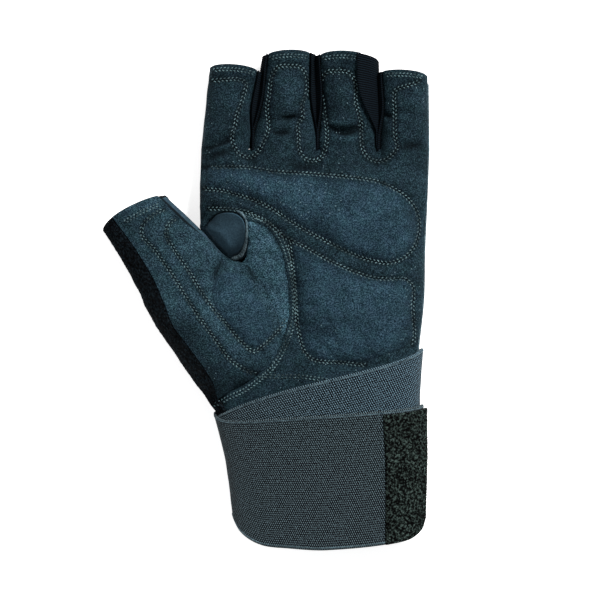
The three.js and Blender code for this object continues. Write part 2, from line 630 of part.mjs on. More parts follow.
// A rib strip between two stalls: down one side, across the crotch and up the other.
const ribStations = [1, 0.78, 0.56, 0.36, 0.2]; // shares of the stall's length
const acrossRib = [-1, -0.5, 0, 0.5, 1]; // from the back panel's edge to the palm panel's
const ribStandOff = 0.022; // share of a half turn between a rib's edge and the panel's

function ribRow(finger, onRight, t) {
  return acrossRib.map((reach) => {
    const wide = onRight && reach > 0 ? 1 - palmEdge(finger, t) : webShare;
    const turn = (wide - ribStandOff) * Math.abs(reach);
    return stallPoint(finger, onRight ? 1 - turn : turn, t, reach >= 0 ? 1 : -1);
  });
}

function rib(finger) {
  const down = ribStations.map((t) => ribRow(finger, true, t));
  const up = ribStations.map((t) => ribRow(finger + 1, false, t)).reverse();
  const from = down[down.length - 1];
  const webY = palmLength + ribThickness + 2 * seamGap;
  const across = evenly(0, 1, webSteps).slice(1, -1).map((share) =>
    from.map((p, j) => {
      const q = p.clone().lerp(up[0][j], turnOf(share));
      q.y = mix(q.y, webY, arch(share));
      return q;
    }),
  );
  return foundSheet([...down, ...across, ...up], ribThickness);
}

// The elastic wrap: one strip wound about the wrist. "at" is the angle wound so far, in turns
// from the left edge; tops are shares of the palm's length and widths of the webbing's own.
const wrapRows = [
  { at: -0.06, top: -0.055, width: 0.8 },
  { at: 0.0, top: -0.064, width: 0.73 },
  { at: 0.08, top: -0.04, width: 0.86 },
  { at: 0.25, top: 0.07, width: 1.0 },
  { at: 0.42, top: 0.172, width: 0.97 },
  { at: 0.5, top: 0.205, width: 0.9 },
  { at: 0.58, top: 0.185, width: 0.95 },
  { at: 0.75, top: 0.075, width: 1.0 },
  { at: 0.92, top: -0.03, width: 0.88 },
  { at: 1.0, top: -0.056, width: 0.76 },
  { at: 1.06, top: -0.078, width: 0.84 },
  { at: 1.12, top: -0.082, width: 0.925 },
  { at: 1.18, top: -0.074, width: 0.965 },
  { at: 1.25, top: -0.062, width: 1.0 },
  { at: 1.4, top: -0.035, width: 0.985 },
  { at: 1.46, top: -0.024, width: 0.925 },
  { at: 1.5, top: -0.018, width: 0.86 },
  { at: 1.58, top: -0.03, width: 0.93 },
];
const wrap = columnsOf(wrapRows);
const wrapStart = wrapRows[0].at;
const wrapEnd = wrapRows[wrapRows.length - 1].at;
const acrossWrap = evenly(0, 1, 4);

// The glove's section at a height y, grown by "out": one turn from the left edge over the palm.
function sectionPoint(turn, y, out) {
  const at = y / palmLength;
  const angle = Math.PI - 2 * Math.PI * turn;
  const onPalm = Math.sin(angle) >= 0;
  const cos = Math.cos(angle);
  const reach = Math.sign(cos) * Math.abs(cos) ** (onPalm ? 1 : backSpread);
  const roundness = onPalm ? palmRoundness : backRoundness;
  const height = Math.sqrt(Math.max(0, 1 - Math.abs(reach) ** roundness));
  const half = (palmWidth * (body.right(at) - body.left(at))) / 2;
  const x = (palmWidth * (body.right(at) + body.left(at))) / 2 + (half + out) * reach;
  const mid = palmDepth * body.mid(at);
  if (onPalm) return vector(x, y, mid + (palmDepth * body.rise(at) + out) * height);
  const low = mid - (palmDepth * body.drop(at) + out) * height;
  return vector(x, y, Math.max(low, restHeight(y) - out, 0));
}

// Outward offset of the wrap's inner face: each turn lies on the one before.
const layerOffset = (turn) => layerGap + layerPitch * (turn - wrapStart);

// The stretch of the wrap's strip between two offsets; shares run from its lower edge to its upper.
function bandOf(turns, shares, inner, outer) {
  const layer = (out) =>
    turns.map((turn) =>
      shares.map((share) => {
        const top = palmLength * wrap.top(turn);
        const y = top - webbingWidth * wrap.width(turn) * (1 - share);
        return sectionPoint(turn, y, layerOffset(turn) + out);
      }),
    );
  return layeredSheet(layer(outer), layer(inner));
}

const closureStart = 1.355; // in turns: where the dark patch begins on the palm side
const closureSteps = 12;
const closureShares = [0, 0.33, 0.66, 0.97]; // it leaves the webbing's upper edge bare
const closureInner = webbingThickness + layerGap;

// Materials
const finish = (hex, roughness) =>
  new THREE.MeshStandardMaterial({ color: new THREE.Color(hex), roughness, metalness: 0 });
const suede = finish(0x22353f, 0.9);
const padCover = finish(0x2b434f, 0.88);
const backCloth = finish(0x0d1114, 0.95);
const ribCloth = finish(0x0b1013, 0.9);
const stretchCloth = finish(0x24373f, 0.7);
const elastic = finish(0x33454e, 0.85);
const closureCloth = finish(0x0c0f10, 1);

// Assembly
const glove = new THREE.Group();
function add(name, geometry, material) {
  const mesh = new THREE.Mesh(geometry, material);
  mesh.name = name;
  glove.add(mesh);
}

const onPalm = [1, glovePoint(1), acrossGlove, alongGlove];
const onThumb = [-1, suedePoint, acrossThumb, alongThumb];
const wholeWrap = evenly(wrapStart, wrapEnd, wrapSteps);
const closureTurns = evenly(closureStart, wrapEnd, closureSteps);

add("palm_panel", palmPanel(), suede);
add("back_panel", backPanel(), backCloth);
fingerRows.slice(0, lastFinger).forEach((row, i) => {
  add(`rib_${row.name}_${fingerRows[i + 1].name}`, rib(i), ribCloth);
});
add("thumb_suede", thumbSuede(), suede);
add("thumb_fleece", gridSheet(fleecePoint, roundFleece, alongThumb, backThickness, 1), backCloth);
add("thumb_inset", thumbInset(), suede);
add("thumb_gusset", thumbGusset(), stretchCloth);
add("upper_pad", padOf(upperPadRows, upperPadThickness, ...onPalm), padCover);
add("heel_pad", padOf(heelPadRows, heelPadThickness, ...onPalm), padCover);
add("thumb_pad", padOf(thumbPadRows, thumbPadThickness, ...onThumb), padCover);
add("wrist_wrap", bandOf(wholeWrap, acrossWrap, 0, webbingThickness), elastic);
add(
  "closure_patch",
  bandOf(closureTurns, closureShares, closureInner, closureInner + closureThickness),
  closureCloth,
);

// The origin is the middle of the footprint, on the floor.
const bounds = new THREE.Box3().setFromObject(glove);
const middle = bounds.getCenter(new THREE.Vector3());
glove.position.set(-middle.x, -middle.y, -bounds.min.z);

export default glove;
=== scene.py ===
import math

import bpy
import numpy as np
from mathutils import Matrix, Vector
from mathutils.bvhtree import BVHTree


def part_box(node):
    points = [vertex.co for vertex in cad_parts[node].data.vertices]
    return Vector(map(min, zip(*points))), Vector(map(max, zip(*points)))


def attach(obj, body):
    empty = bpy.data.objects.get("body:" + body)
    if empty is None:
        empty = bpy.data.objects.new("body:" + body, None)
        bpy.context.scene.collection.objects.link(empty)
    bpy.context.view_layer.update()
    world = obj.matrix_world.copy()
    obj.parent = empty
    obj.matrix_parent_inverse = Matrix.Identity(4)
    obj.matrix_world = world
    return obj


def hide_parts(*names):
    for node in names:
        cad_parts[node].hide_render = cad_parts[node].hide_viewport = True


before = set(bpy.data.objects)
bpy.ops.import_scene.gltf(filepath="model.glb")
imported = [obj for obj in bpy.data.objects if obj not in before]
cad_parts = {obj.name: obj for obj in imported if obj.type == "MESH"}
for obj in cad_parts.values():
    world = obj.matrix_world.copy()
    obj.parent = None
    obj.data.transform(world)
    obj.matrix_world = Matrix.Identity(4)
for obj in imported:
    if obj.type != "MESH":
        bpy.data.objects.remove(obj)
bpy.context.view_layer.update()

# Lengths are in millimetres and the wrist line is y = 0, until a mesh is made.
form = {
    "palmWidth": 106.0,
    "palmLength": 117.0,
    "palmDepth": 27.0,
    "cuffLength": 29.0,
    "rightEdge": 52.05,  # right edge of the palm panel, from the middle finger's left crotch
    "palmRoundness": 2.3,
    "backRoundness": 4.0,
    "backSpread": 0.6,
    "valleyLength": 0.125,
    "layerGap": 0.35,
    "restFade": (0.16, 0.4),  # where on the palm's length the back comes down to the floor
    "webbingThickness": 1.3,
    "webbingWidth": 62.0,
    "ribPitch": 1.0,
}
palmWidth = form["palmWidth"]
palmLength = form["palmLength"]
palmDepth = form["palmDepth"]
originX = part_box("palm_panel")[1].x * 1000 - form["rightEdge"]
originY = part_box("back_panel")[0].y * 1000 + form["cuffLength"]

photo = {"wristX": 317.0, "wristY": 400.0, "millimetres": 0.467}  # pixels, and one pixel's size


def fromPhoto(places):
    pixels = np.array(places, float)
    x = (pixels[:, 0] - photo["wristX"]) * photo["millimetres"]
    y = (photo["wristY"] - pixels[:, 1]) * photo["millimetres"]
    return np.stack([x, y], -1)


def toMetres(points):
    return (np.asarray(points, float) + np.array([originX, originY, 0.0])) / 1000


# Numbers and curves
def mix(a, b, t):
    return a + (b - a) * t


def smooth(a, b, x):
    t = np.clip((x - a) / (b - a), 0, 1)
    return t * t * (3 - 2 * t)


def arch(share):
    return np.sin(np.pi * np.clip(share, 0, 1))


def turnOf(share):
    return (1 - np.cos(np.pi * share)) / 2


def bell(x, width):
    return np.exp(-((x / width) ** 2))


tiny = 1e-9
farAway = 1e9


def unit(vectors):
    return vectors / np.maximum(np.linalg.norm(vectors, axis=-1, keepdims=True), tiny)


def runOf(line):
    # the distance run along a line, at each of its points
    return np.concatenate([[0], np.cumsum(np.linalg.norm(np.diff(line, axis=0), axis=-1))])


def gridOf(us, vs):
    return np.meshgrid(us, vs, indexing="ij")


def allCells(points):
    return np.ones((points.shape[0] - 1, points.shape[1] - 1), bool)


def column(table, key):
    at = np.array(table["at"], float)
    value = np.array(table[key], float)
    slope = np.empty_like(value)
    slope[1:-1] = (value[2:] - value[:-2]) / (at[2:] - at[:-2])
    slope[0] = (value[1] - value[0]) / (at[1] - at[0])
    slope[-1] = (value[-1] - value[-2]) / (at[-1] - at[-2])

    def read(x):
        x = np.asarray(x, float)
        i = np.clip(np.searchsorted(at, x, side="right") - 1, 0, len(at) - 2)
        h = at[i + 1] - at[i]
        t = (x - at[i]) / h
        inside = (
            value[i] * (1 + 2 * t) * (1 - t) ** 2
            + slope[i] * h * t * (1 - t) ** 2
            + value[i + 1] * t * t * (3 - 2 * t)
            + slope[i + 1] * h * t * t * (t - 1)
        )
        low = value[0] + slope[0] * (x - at[0])
        high = value[-1] + slope[-1] * (x - at[-1])
        return np.where(x <= at[0], low, np.where(x >= at[-1], high, inside))

    return read


def columns(table):
    return {key: column(table, key) for key in table if key != "at"}


waviness = {"waves": 7, "shortest": 0.75, "longest": 1.6, "level": 3.2}


def ripple(x, y, size, seed):
    # a smooth uneven surface between about -1 and 1, with bumps of the given size
    pick = np.random.default_rng(seed)
    total = np.zeros(np.broadcast(x, y).shape)
    for _ in range(waviness["waves"]):
        angle = pick.uniform(0, 2 * np.pi)
        length = size * pick.uniform(waviness["shortest"], waviness["longest"])
        phase = pick.uniform(0, 2 * np.pi)
        total += np.sin(2 * np.pi * (x * np.cos(angle) + y * np.sin(angle)) / length + phase)
    return total / waviness["level"]


def smoothLine(places, step, closed=False):
    # a rounded line through the places, with points about one step apart
    places = np.asarray(places, float)
    if closed:
        padded = np.concatenate([places[-1:], places, places[:2]])
    else:
        first = 2 * places[0] - places[1]
        last = 2 * places[-1] - places[-2]
        padded = np.concatenate([[first], places, [last]])
    made = []
    for i in range(1, len(padded) - 2):
        p0, p1, p2, p3 = padded[i - 1 : i + 3]
        knots = [0.0]
        for a, b in ((p0, p1), (p1, p2), (p2, p3)):
            knots.append(knots[-1] + max(np.linalg.norm(b - a), tiny) ** 0.5)
        t0, t1, t2, t3 = knots
        t = np.linspace(t1, t2, max(2, int(np.linalg.norm(p2 - p1) / step) + 1), endpoint=False)[:, None]
        a1 = (t1 - t) / (t1 - t0) * p0 + (t - t0) / (t1 - t0) * p1
        a2 = (t2 - t) / (t2 - t1) * p1 + (t - t1) / (t2 - t1) * p2
        a3 = (t3 - t) / (t3 - t2) * p2 + (t - t2) / (t3 - t2) * p3
        b1 = (t2 - t) / (t2 - t0) * a1 + (t - t0) / (t2 - t0) * a2
        b2 = (t3 - t) / (t3 - t1) * a2 + (t - t1) / (t3 - t1) * a3
        made.append((t2 - t) / (t2 - t1) * b1 + (t - t1) / (t2 - t1) * b2)
    line = np.concatenate(made)
    return line if closed else np.concatenate([line, places[-1:]])


def fromLine(x, y, line, closed=False):
    # distance from a line in the plan, and place along it
    ends = np.roll(line, -1, axis=0) if closed else line[1:]
    starts = line if closed else line[:-1]
    distance = np.full(x.shape, farAway)
    along = np.zeros(x.shape)
    run = 0.0
    for (ax, ay), (bx, by) in zip(starts, ends):
        dx, dy = bx - ax, by - ay
        length = math.hypot(dx, dy)
        if length < tiny:
            continue
        t = np.clip(((x - ax) * dx + (y - ay) * dy) / length**2, 0, 1)
        d = np.hypot(x - ax - t * dx, y - ay - t * dy)
        along = np.where(d < distance, run + t * length, along)
        distance = np.minimum(d, distance)
        run += length
    return distance, along


def tangentOf(line, closed=False):
    if closed:
        return unit(np.roll(line, -1, axis=0) - np.roll(line, 1, axis=0))
    return unit(np.gradient(line, axis=0))


def offsetLine(line, distance, closed):
    tangent = tangentOf(line, closed)
    return line + np.stack([-tangent[:, 1], tangent[:, 0]], -1) * distance


def isInside(x, y, outline):
    inside = np.zeros(x.shape, bool)
    for (ax, ay), (bx, by) in zip(outline, np.roll(outline, -1, axis=0)):
        if ay == by:
            continue
        crosses = (ay > y) != (by > y)
        inside ^= crosses & (x < ax + (y - ay) / (by - ay) * (bx - ax))
    return inside


def depthInside(x, y, outline):
    distance, _ = fromLine(x, y, outline, closed=True)
    return np.where(isInside(x, y, outline), distance, -distance)


def shareOutline(table, step):
    return smoothLine(np.array(table) * [palmWidth, palmLength], step, closed=True)


def normalsOf(points, facing):
    return unit(np.cross(np.gradient(points, axis=0), np.gradient(points, axis=1)) * facing)


# The body and its four stalls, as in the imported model
body = {
    "at": (-0.6, -0.25, 0.0, 0.2, 0.4, 0.6, 0.8, 1.0),
    "left": (-0.324, -0.37, -0.437, -0.47, -0.492, -0.51, -0.516, -0.511),
    "right": (0.418, 0.43, 0.43, 0.444, 0.467, 0.472, 0.482, 0.491),
    "mid": (0.5, 0.49, 0.47, 0.46, 0.45, 0.44, 0.41, 0.32),
    "rise": (0.42, 0.45, 0.48, 0.52, 0.55, 0.56, 0.53, 0.4),
    "drop": (0.4, 0.4, 0.4, 0.43, 0.47, 0.475, 0.45, 0.36),
}
bodyAt = columns(body)

stalls = {
    "from": (-0.511, -0.295, 0.005, 0.274),
    "to": (-0.295, 0.005, 0.274, 0.491),
    "mouthFrom": (-0.472, -0.229, -0.003, 0.273),
    "mouthTo": (-0.246, -0.018, 0.26, 0.487),
    "left": (0.826, 0.939, 0.935, 0.776),
    "crown": (0.852, 1.0, 0.989, 0.796),
    "right": (0.765, 0.959, 0.887, 0.735),
    "foldAt": (0.12, 0.26, 0.2, 0.45),
    "fold": (0.05, 0.11, 0.11, 0.05),
    "length": 46.0,
    "depth": 17.0,
    "curl": 2.4,
    "flattening": 0.6,
    "foldWidth": 0.055,
    "webShare": 0.12,
    "rolledFinger": 2,
    "rolledShare": 0.33,
}
stallAt = {key: np.array(value) for key, value in stalls.items() if isinstance(value, tuple)}
stallMid = stalls["depth"] / 2
webShare = stalls["webShare"]

layerPitch = form["webbingThickness"] + form["layerGap"]
wrapStack = form["layerGap"] + layerPitch + form["webbingThickness"]


def restHeight(y):
    return wrapStack * (1 - smooth(*form["restFade"], y / palmLength))


def isOuter(finger, f):
    # the outer halves of the index and little finger stalls, which have no rib beside them
    return ((finger == 0) & (f < 0.5)) | ((finger == 3) & (f > 0.5))


def bodyPoints(finger, f, y, side):
    share = mix(stallAt["from"][finger], stallAt["to"][finger], turnOf(f))
    first = stallAt["from"][0]
    last = stallAt["to"][-1]
    reach = np.clip(2 * (share - first) / (last - first) - 1, -1, 1)
    at = y / palmLength
    x = palmWidth * mix(bodyAt["left"](at), bodyAt["right"](at), (1 + reach) / 2)
    mid = palmDepth * bodyAt["mid"](at)
    fade = smooth(1 - form["valleyLength"], 1, at)
    outer = isOuter(finger, f)
    swell = np.maximum(arch(f), np.where(outer, 0, arch(webShare)))
    if side > 0:
        palm = mid + palmDepth * bodyAt["rise"](at) * np.sqrt(1 - np.abs(reach) ** form["palmRoundness"])
        return np.stack([x, y, mix(palm, stallMid + stallMid * swell, fade)], -1)
    back = mid - palmDepth * bodyAt["drop"](at) * np.sqrt(1 - np.abs(reach) ** form["backRoundness"])
    stall = stallMid - (stallMid + stalls["flattening"]) * swell
    return np.stack([x, y, np.maximum(mix(back, stall, fade), restHeight(y))], -1)


# Half the gap between two stalls: it opens slowly and narrows again at the mouths
slit = {"half": 1.6, "opens": (-0.05, 0.5), "narrows": (0.55, 0.95), "mouth": 0.5, "crotch": 0.04}


def slitAt(t):
    return slit["half"] * smooth(*slit["opens"], t) * mix(1, slit["mouth"], smooth(*slit["narrows"], t))


def stallPoints(finger, f, t, side):
    gap = slitAt(t) * smooth(0, slit["crotch"], t)
    left = palmWidth * mix(stallAt["from"][finger], stallAt["mouthFrom"][finger], t)
    left = left + np.where(finger > 0, gap, 0)
    right = palmWidth * mix(stallAt["to"][finger], stallAt["mouthTo"][finger], t)
    right = right - np.where(finger < 3, gap, 0)
    crown = stallAt["crown"][finger] - (stallAt["left"][finger] + stallAt["right"][finger]) / 2
    reach = mix(stallAt["left"][finger], stallAt["right"][finger], f) + crown * arch(f)
    y = palmLength + stalls["length"] * reach * t
    mid = stallMid + stalls["curl"] * t * t
    fold = bell(t - stallAt["foldAt"][finger], stalls["foldWidth"])
    dent = stallAt["fold"][finger] * stalls["depth"] * arch(f) ** 2 * fold
    if side > 0:
        z = mid + stallMid * arch(f) - dent
    else:
        z = np.maximum(mid - (stallMid + stalls["flattening"]) * arch(f), 0)
    return np.stack([mix(left, right, turnOf(f)), y, z], -1)


# Where the leather ends on a stall's side, as a share of the way across
leather = {"crotch": 0.05, "widens": (0.1, 0.6), "rolls": (0, 0.75)}


def leftEdge(t):
    return mix(leather["crotch"], webShare, smooth(*leather["widens"], t))


def palmEdge(finger, t):
    roll = np.where(finger == stalls["rolledFinger"], smooth(*leather["rolls"], t), 0)
    return 1 - mix(leftEdge(t), stalls["rolledShare"], roll)


def glovePoints(u, v, side):
    # u counts across the fingers; v is a share of the palm up to 1, then of the stalls
    finger = np.clip(np.floor(u), 0, 3).astype(int)
    f = u - finger
    below = bodyPoints(finger, f, palmLength * np.minimum(v, 1), side)
    t = np.maximum(v - 1, 0)
    g = f
    if side > 0:  # the leather ends further down the stall's sides near the crotch
        half = 0.5 - webShare
        right = np.where(finger == 3, 1, (palmEdge(finger, t) - 0.5) / half)
        left = np.where(finger == 0, 1, (0.5 - leftEdge(t)) / half)
        g = 0.5 + (f - 0.5) * np.where(f > 0.5, right, left)
    above = stallPoints(finger, g, t, side)
    return np.where((v <= 1)[..., None], below, above)


def palmHeight(x, y):
    at = y / palmLength
    left = palmWidth * bodyAt["left"](at)
    right = palmWidth * bodyAt["right"](at)
    across = np.clip((x - left) / (right - left), 0, 1)
    share = mix(stallAt["from"][0], stallAt["to"][-1], across)
    finger = np.clip(np.searchsorted(stallAt["from"], share, side="right") - 1, 0, 3)
    width = stallAt["to"][finger] - stallAt["from"][finger]
    f = np.arccos(np.clip(1 - 2 * (share - stallAt["from"][finger]) / width, -1, 1)) / np.pi
    return bodyPoints(finger, f, y, 1)[..., 2]


def fingerGrid(panel):
    # places across the four stalls, with their ribs' edges, and from the cuff to the mouths
    side = np.linspace(0, webShare, 6)[:-1]
    middle = np.linspace(webShare, 1 - webShare, panel["steps"])
    stall = np.concatenate([side, middle, 1 - side[:0:-1]])
    us = np.concatenate([i + stall[:-1] for i in range(4)] + [[4.0]])
    us[0] += panel["inset"]
    us[-1] -= panel["inset"]
    below = np.linspace(-form["cuffLength"] / palmLength, 1, panel["rows"])
    return us, np.concatenate([below, np.linspace(1, 2, panel["stallRows"])[1:]])


# Meshes
def makeMesh(name, points, faces, materials, faceMaterial=None, uvs=None, tone=None):
    mesh = bpy.data.meshes.new(name)
    mesh.from_pydata(toMetres(points).tolist(), [], [tuple(face) for face in faces])
    for material in materials:
        mesh.materials.append(material)
    if faceMaterial is not None:
        mesh.polygons.foreach_set("material_index", np.asarray(faceMaterial, np.int32))
    mesh.polygons.foreach_set("use_smooth", np.ones(len(mesh.polygons), bool))
    if uvs is not None:
        layer = mesh.uv_layers.new(name="cloth")
        corner = np.empty(len(mesh.loops), np.int32)
        mesh.loops.foreach_get("vertex_index", corner)
        layer.data.foreach_set("uv", np.asarray(uvs, np.float32)[corner].ravel())
    if tone is not None:
        layer = mesh.attributes.new("tone", "FLOAT", "POINT")
        layer.data.foreach_set("value", np.asarray(tone, np.float32))
    mesh.update()
    piece = bpy.data.objects.new(name, mesh)
    bpy.context.scene.collection.objects.link(piece)
    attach(piece, "root")
    return piece


def quadsOf(keep, rows, ring=False):
    # the corners of each kept cell, as places in the flat list of a grid's points
    i, j = np.nonzero(keep)
    after = (j + 1) % (rows - 1) if ring else j + 1
    return np.stack([i * rows + j, (i + 1) * rows + j, (i + 1) * rows + after, i * rows + after], -1)


hiddenTone = {"inside": 0.6, "rim": 0.8}  # how dark the leather's inside and rim are beside its face


def makeSheet(name, outer, inner, keep, facing, materials, roll=0.0, uv=None, tone=None, ring=False):
    # a closed sheet between two grids of points, with a rounded edge that stands out by roll
    quads = quadsOf(keep, outer.shape[1], ring)
    if facing < 0:
        quads = quads[:, ::-1]
    used, quads = np.unique(quads, return_inverse=True)
    quads = quads.reshape(-1, 4)
    top = outer.reshape(-1, 3)[used]
    low = inner.reshape(-1, 3)[used]
    count = len(used)
    start = quads.ravel()
    end = np.roll(quads, -1, axis=1).ravel()
    free = ~np.isin(start * count + end, end * count + start)
    start, end = start[free], end[free]
    away = unit(np.cross(top[end] - top[start], (top - low)[start]))
    push = np.zeros_like(top)
    np.add.at(push, start, away)
    np.add.at(push, end, away)
    rim = np.unique(np.concatenate([start, end]))
    place = np.full(count, -1)
    place[rim] = 2 * count + np.arange(len(rim))
    middle = (top[rim] + low[rim]) / 2 + unit(push)[rim] * roll
    walls = np.concatenate([
        np.stack([start, place[start], place[end], end], -1),
        np.stack([place[start], start + count, end + count, place[end]], -1),
    ])
    faces = np.concatenate([quads, quads[:, ::-1] + count, walls])
    kind = np.concatenate([np.zeros(len(quads)), np.ones(len(quads)), np.zeros(len(walls))])
    kind = kind if len(materials) > 1 else kind * 0
    points = np.concatenate([top, low, middle])
    if uv is not None:
        flat = uv.reshape(-1, 2)[used]
        uv = np.concatenate([flat, flat, flat[rim]])
    if tone is not None:
        # the tone carries painted light and shade with mottle; the inside and rim take it darker
        shadeAndMottle = tone.reshape(-1)[used]
        tone = np.concatenate([shadeAndMottle, shadeAndMottle * hiddenTone["inside"], shadeAndMottle[rim] * hiddenTone["rim"]])
    return makeMesh(name, points, faces.tolist(), materials, kind, uv, tone)


def standFor(node):
    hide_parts(node)


trim = {"reach": 1.4, "leastRise": 0.35}


def trimTo(points, normals, outline, keep, inside=True):
    # keeps the cells on one side of an outline, and draws their edge onto it
    depth = depthInside(points[..., 0], points[..., 1], outline) * (1 if inside else -1)
    middle = (depth[:-1, :-1] + depth[1:, :-1] + depth[:-1, 1:] + depth[1:, 1:]) / 4
    kept = keep & (middle > 0)
    touched = np.zeros(depth.shape, int)
    for di in (0, 1):
        for dj in (0, 1):
            touched[di : di + kept.shape[0], dj : dj + kept.shape[1]] += kept
    near = (touched > 0) & (touched < 4) & (np.abs(depth) < trim["reach"])
    run = np.roll(outline, -1, axis=0) - outline
    size = np.maximum((run**2).sum(-1), tiny)
    for i, j in np.argwhere(near):
        here = points[i, j, :2]
        spots = outline + run * np.clip(((here - outline) * run).sum(-1) / size, 0, 1)[:, None]
        spot = spots[np.argmin(((spots - here) ** 2).sum(-1))]
        shift = spot - here
        n = normals[i, j]
        rise = n[2] if abs(n[2]) > trim["leastRise"] else trim["leastRise"]
        points[i, j, 2] -= (n[0] * shift[0] + n[1] * shift[1]) / rise
        points[i, j, :2] = spot
    return kept


def circlesOf(sideways, up, sides):
    # a unit circle about each place, in the plane of its two directions
    angles = np.linspace(0, 2 * np.pi, sides, endpoint=False)[None, :, None]
    return np.cos(angles) * sideways[:, None] + np.sin(angles) * up[:, None]


leastLean = 0.05  # a path that leans less than this from upright takes its side along x


def sweep(name, path, radius, sides, material):
    # a round cord along a path
    tangent = tangentOf(path)
    sideways = np.cross(tangent, [0.0, 0.0, 1.0])
    sideways[np.linalg.norm(sideways, axis=-1) < leastLean] = [1.0, 0.0, 0.0]
    sideways = unit(sideways)
    up = np.cross(sideways, tangent)
    size = np.broadcast_to(radius, (len(path),))[:, None, None]
    points = (path[:, None] + size * circlesOf(sideways, up, sides)).reshape(-1, 3)
    last = len(points) - sides
    faces = []
    for a in range(0, last, sides):
        for k in range(sides):
            n = (k + 1) % sides
            faces.append((a + k, a + sides + k, a + sides + n, a + n))
    faces.append(tuple(range(sides)))
    faces.append(tuple(range(last + sides - 1, last - 1, -1)))
    return makeMesh(name, points, faces, [material])


# Finishes
def wire(tree, kind, sockets, **settings):
    made = tree.nodes.new(kind)
    for name, value in settings.items():
        setattr(made, name, value)
    for name, value in sockets.items():
        if isinstance(value, bpy.types.NodeSocket):
            tree.links.new(value, made.inputs[name])
        else:
            made.inputs[name].default_value = value
    return made


def noise(tree, place, scale, detail, roughness=0.5):
    sockets = {"Vector": place, "Scale": scale, "Detail": detail, "Roughness": roughness}
    return wire(tree, "ShaderNodeTexNoise", sockets).outputs["Fac"]


def maths(tree, operation, a, b, c=0.0):
    return wire(tree, "ShaderNodeMath", {0: a, 1: b, 2: c}, operation=operation).outputs[0]


def blendColour(tree, factor, a, b, kind="MULTIPLY"):
    sockets = {0: factor, 6: a, 7: b}
    return wire(tree, "ShaderNodeMix", sockets, data_type="RGBA", blend_type=kind).outputs[2]


def shade(tree, factor, stops):
    # a ramp of colours, or of greys that are given as one number
    made = wire(tree, "ShaderNodeValToRGB", {0: factor})
    ramp = made.color_ramp
    while len(ramp.elements) < len(stops):
        ramp.elements.new(0.5)
    for element, (place, colour) in zip(ramp.elements, stops):
        element.position = place
        element.color = colour if isinstance(colour, tuple) else (colour, colour, colour, 1)
    return made.outputs[0]


def linear(red, green, blue):
    # a colour given as it looks on a screen, 0 to 255
    def channel(value):
        value /= 255
        return value / 12.92 if value <= 0.04045 else ((value + 0.055) / 1.055) ** 2.4

    return (channel(red), channel(green), channel(blue), 1.0)


def startMaterial(name):
    material = bpy.data.materials.new(name)
    material.use_nodes = True
    tree = material.node_tree
    return material, tree, tree.nodes["Principled BSDF"]


def setValues(shader, values):
    for name, value in values.items():
        shader.inputs[name].default_value = value


def coat(tree, shader, colour, height, relief, values):
    # relief is the bump's strength and its height in metres
    tree.links.new(colour, shader.inputs["Base Color"])
    sockets = {"Height": height, "Strength": relief[0], "Distance": relief[1]}
    bump = wire(tree, "ShaderNodeBump", sockets)
    tree.links.new(bump.outputs["Normal"], shader.inputs["Normal"])
    setValues(shader, values)


# A noise here is its scale, detail and roughness, and a ramp is its places and shades
suedeLook = {
    "grain": (1900.0, 3.0, 0.55),
    "grainRamp": (0.37, 0.5, 0.64),
    "cloud": (85.0, 5.0, 0.62),
    "cloudRamp": [(0.3, 0.68), (0.7, 1.3)],
    "cloudHeight": 0.8,
    "tint": (240.0, 2.0),
    "tintRamp": [(0.35, (0.94, 1.02, 0.96, 1)), (0.65, (1.03, 0.99, 1.02, 1))],
    "lintScale": 420.0,
    "lintRamp": [(0.07, 1.0), (0.13, 0.0)],
    "lintField": (30.0, 2.0),
    "lintFieldRamp": [(0.5, 0.0), (0.6, 1.0)],
    "lintShare": 0.75,
    "lint": linear(120, 148, 156),
    "relief": (0.6, 0.0005),
    "surface": {
        "Roughness": 0.95,
        "Specular IOR Level": 0.06,
        "Sheen Weight": 0.05,
        "Sheen Roughness": 0.4,
        "Sheen Tint": linear(130, 180, 205),
    },
}


def suedeMaterial(name, shades):
    # "tone" multiplies the leather's colour: painted shade down seams, folds and pad rims and over the
    # stalls, painted light on puckers, ridges and the inset, with mottle and patches
    look = suedeLook
    material, tree, shader = startMaterial(name)
    place = wire(tree, "ShaderNodeTexCoord", {}).outputs["Object"]
    grain = noise(tree, place, *look["grain"])
    cloud = noise(tree, place, *look["cloud"])
    fleck = wire(tree, "ShaderNodeTexVoronoi", {"Vector": place, "Scale": look["lintScale"]})
    shadeAndMottle = wire(tree, "ShaderNodeAttribute", {}, attribute_name="tone")
    colour = shade(tree, grain, list(zip(look["grainRamp"], shades)))
    colour = blendColour(tree, 1.0, colour, shade(tree, cloud, look["cloudRamp"]))
    tint = noise(tree, place, *look["tint"])
    colour = blendColour(tree, 1.0, colour, shade(tree, tint, look["tintRamp"]))
    # the tone attribute: painted light and shade, with mottle
    colour = blendColour(tree, 1.0, colour, shadeAndMottle.outputs["Fac"])
    bright = shade(tree, fleck.outputs["Distance"], look["lintRamp"])
    some = shade(tree, noise(tree, place, *look["lintField"]), look["lintFieldRamp"])
    lint = maths(tree, "MULTIPLY", maths(tree, "MULTIPLY", bright, some), look["lintShare"])
    colour = blendColour(tree, lint, colour, look["lint"], "MIX")
    height = maths(tree, "ADD", grain, maths(tree, "MULTIPLY", cloud, look["cloudHeight"]))
    coat(tree, shader, colour, height, look["relief"], look["surface"])
    return material


clothLook = {
    "scale": 900.0,
    "grain": (4.0, 0.7),
    "ramp": (0.38, 0.7),
    "mottleScale": 90.0,
    "mottleDetail": 3.0,
    "mottleAt": (0.35, 0.65),
    "mottle": (0.7, 1.3),
    "strength": 0.6,
    "depth": 0.0001,
    "roughness": 0.95,
    "shine": 0.08,
    "nap": 0.05,
}


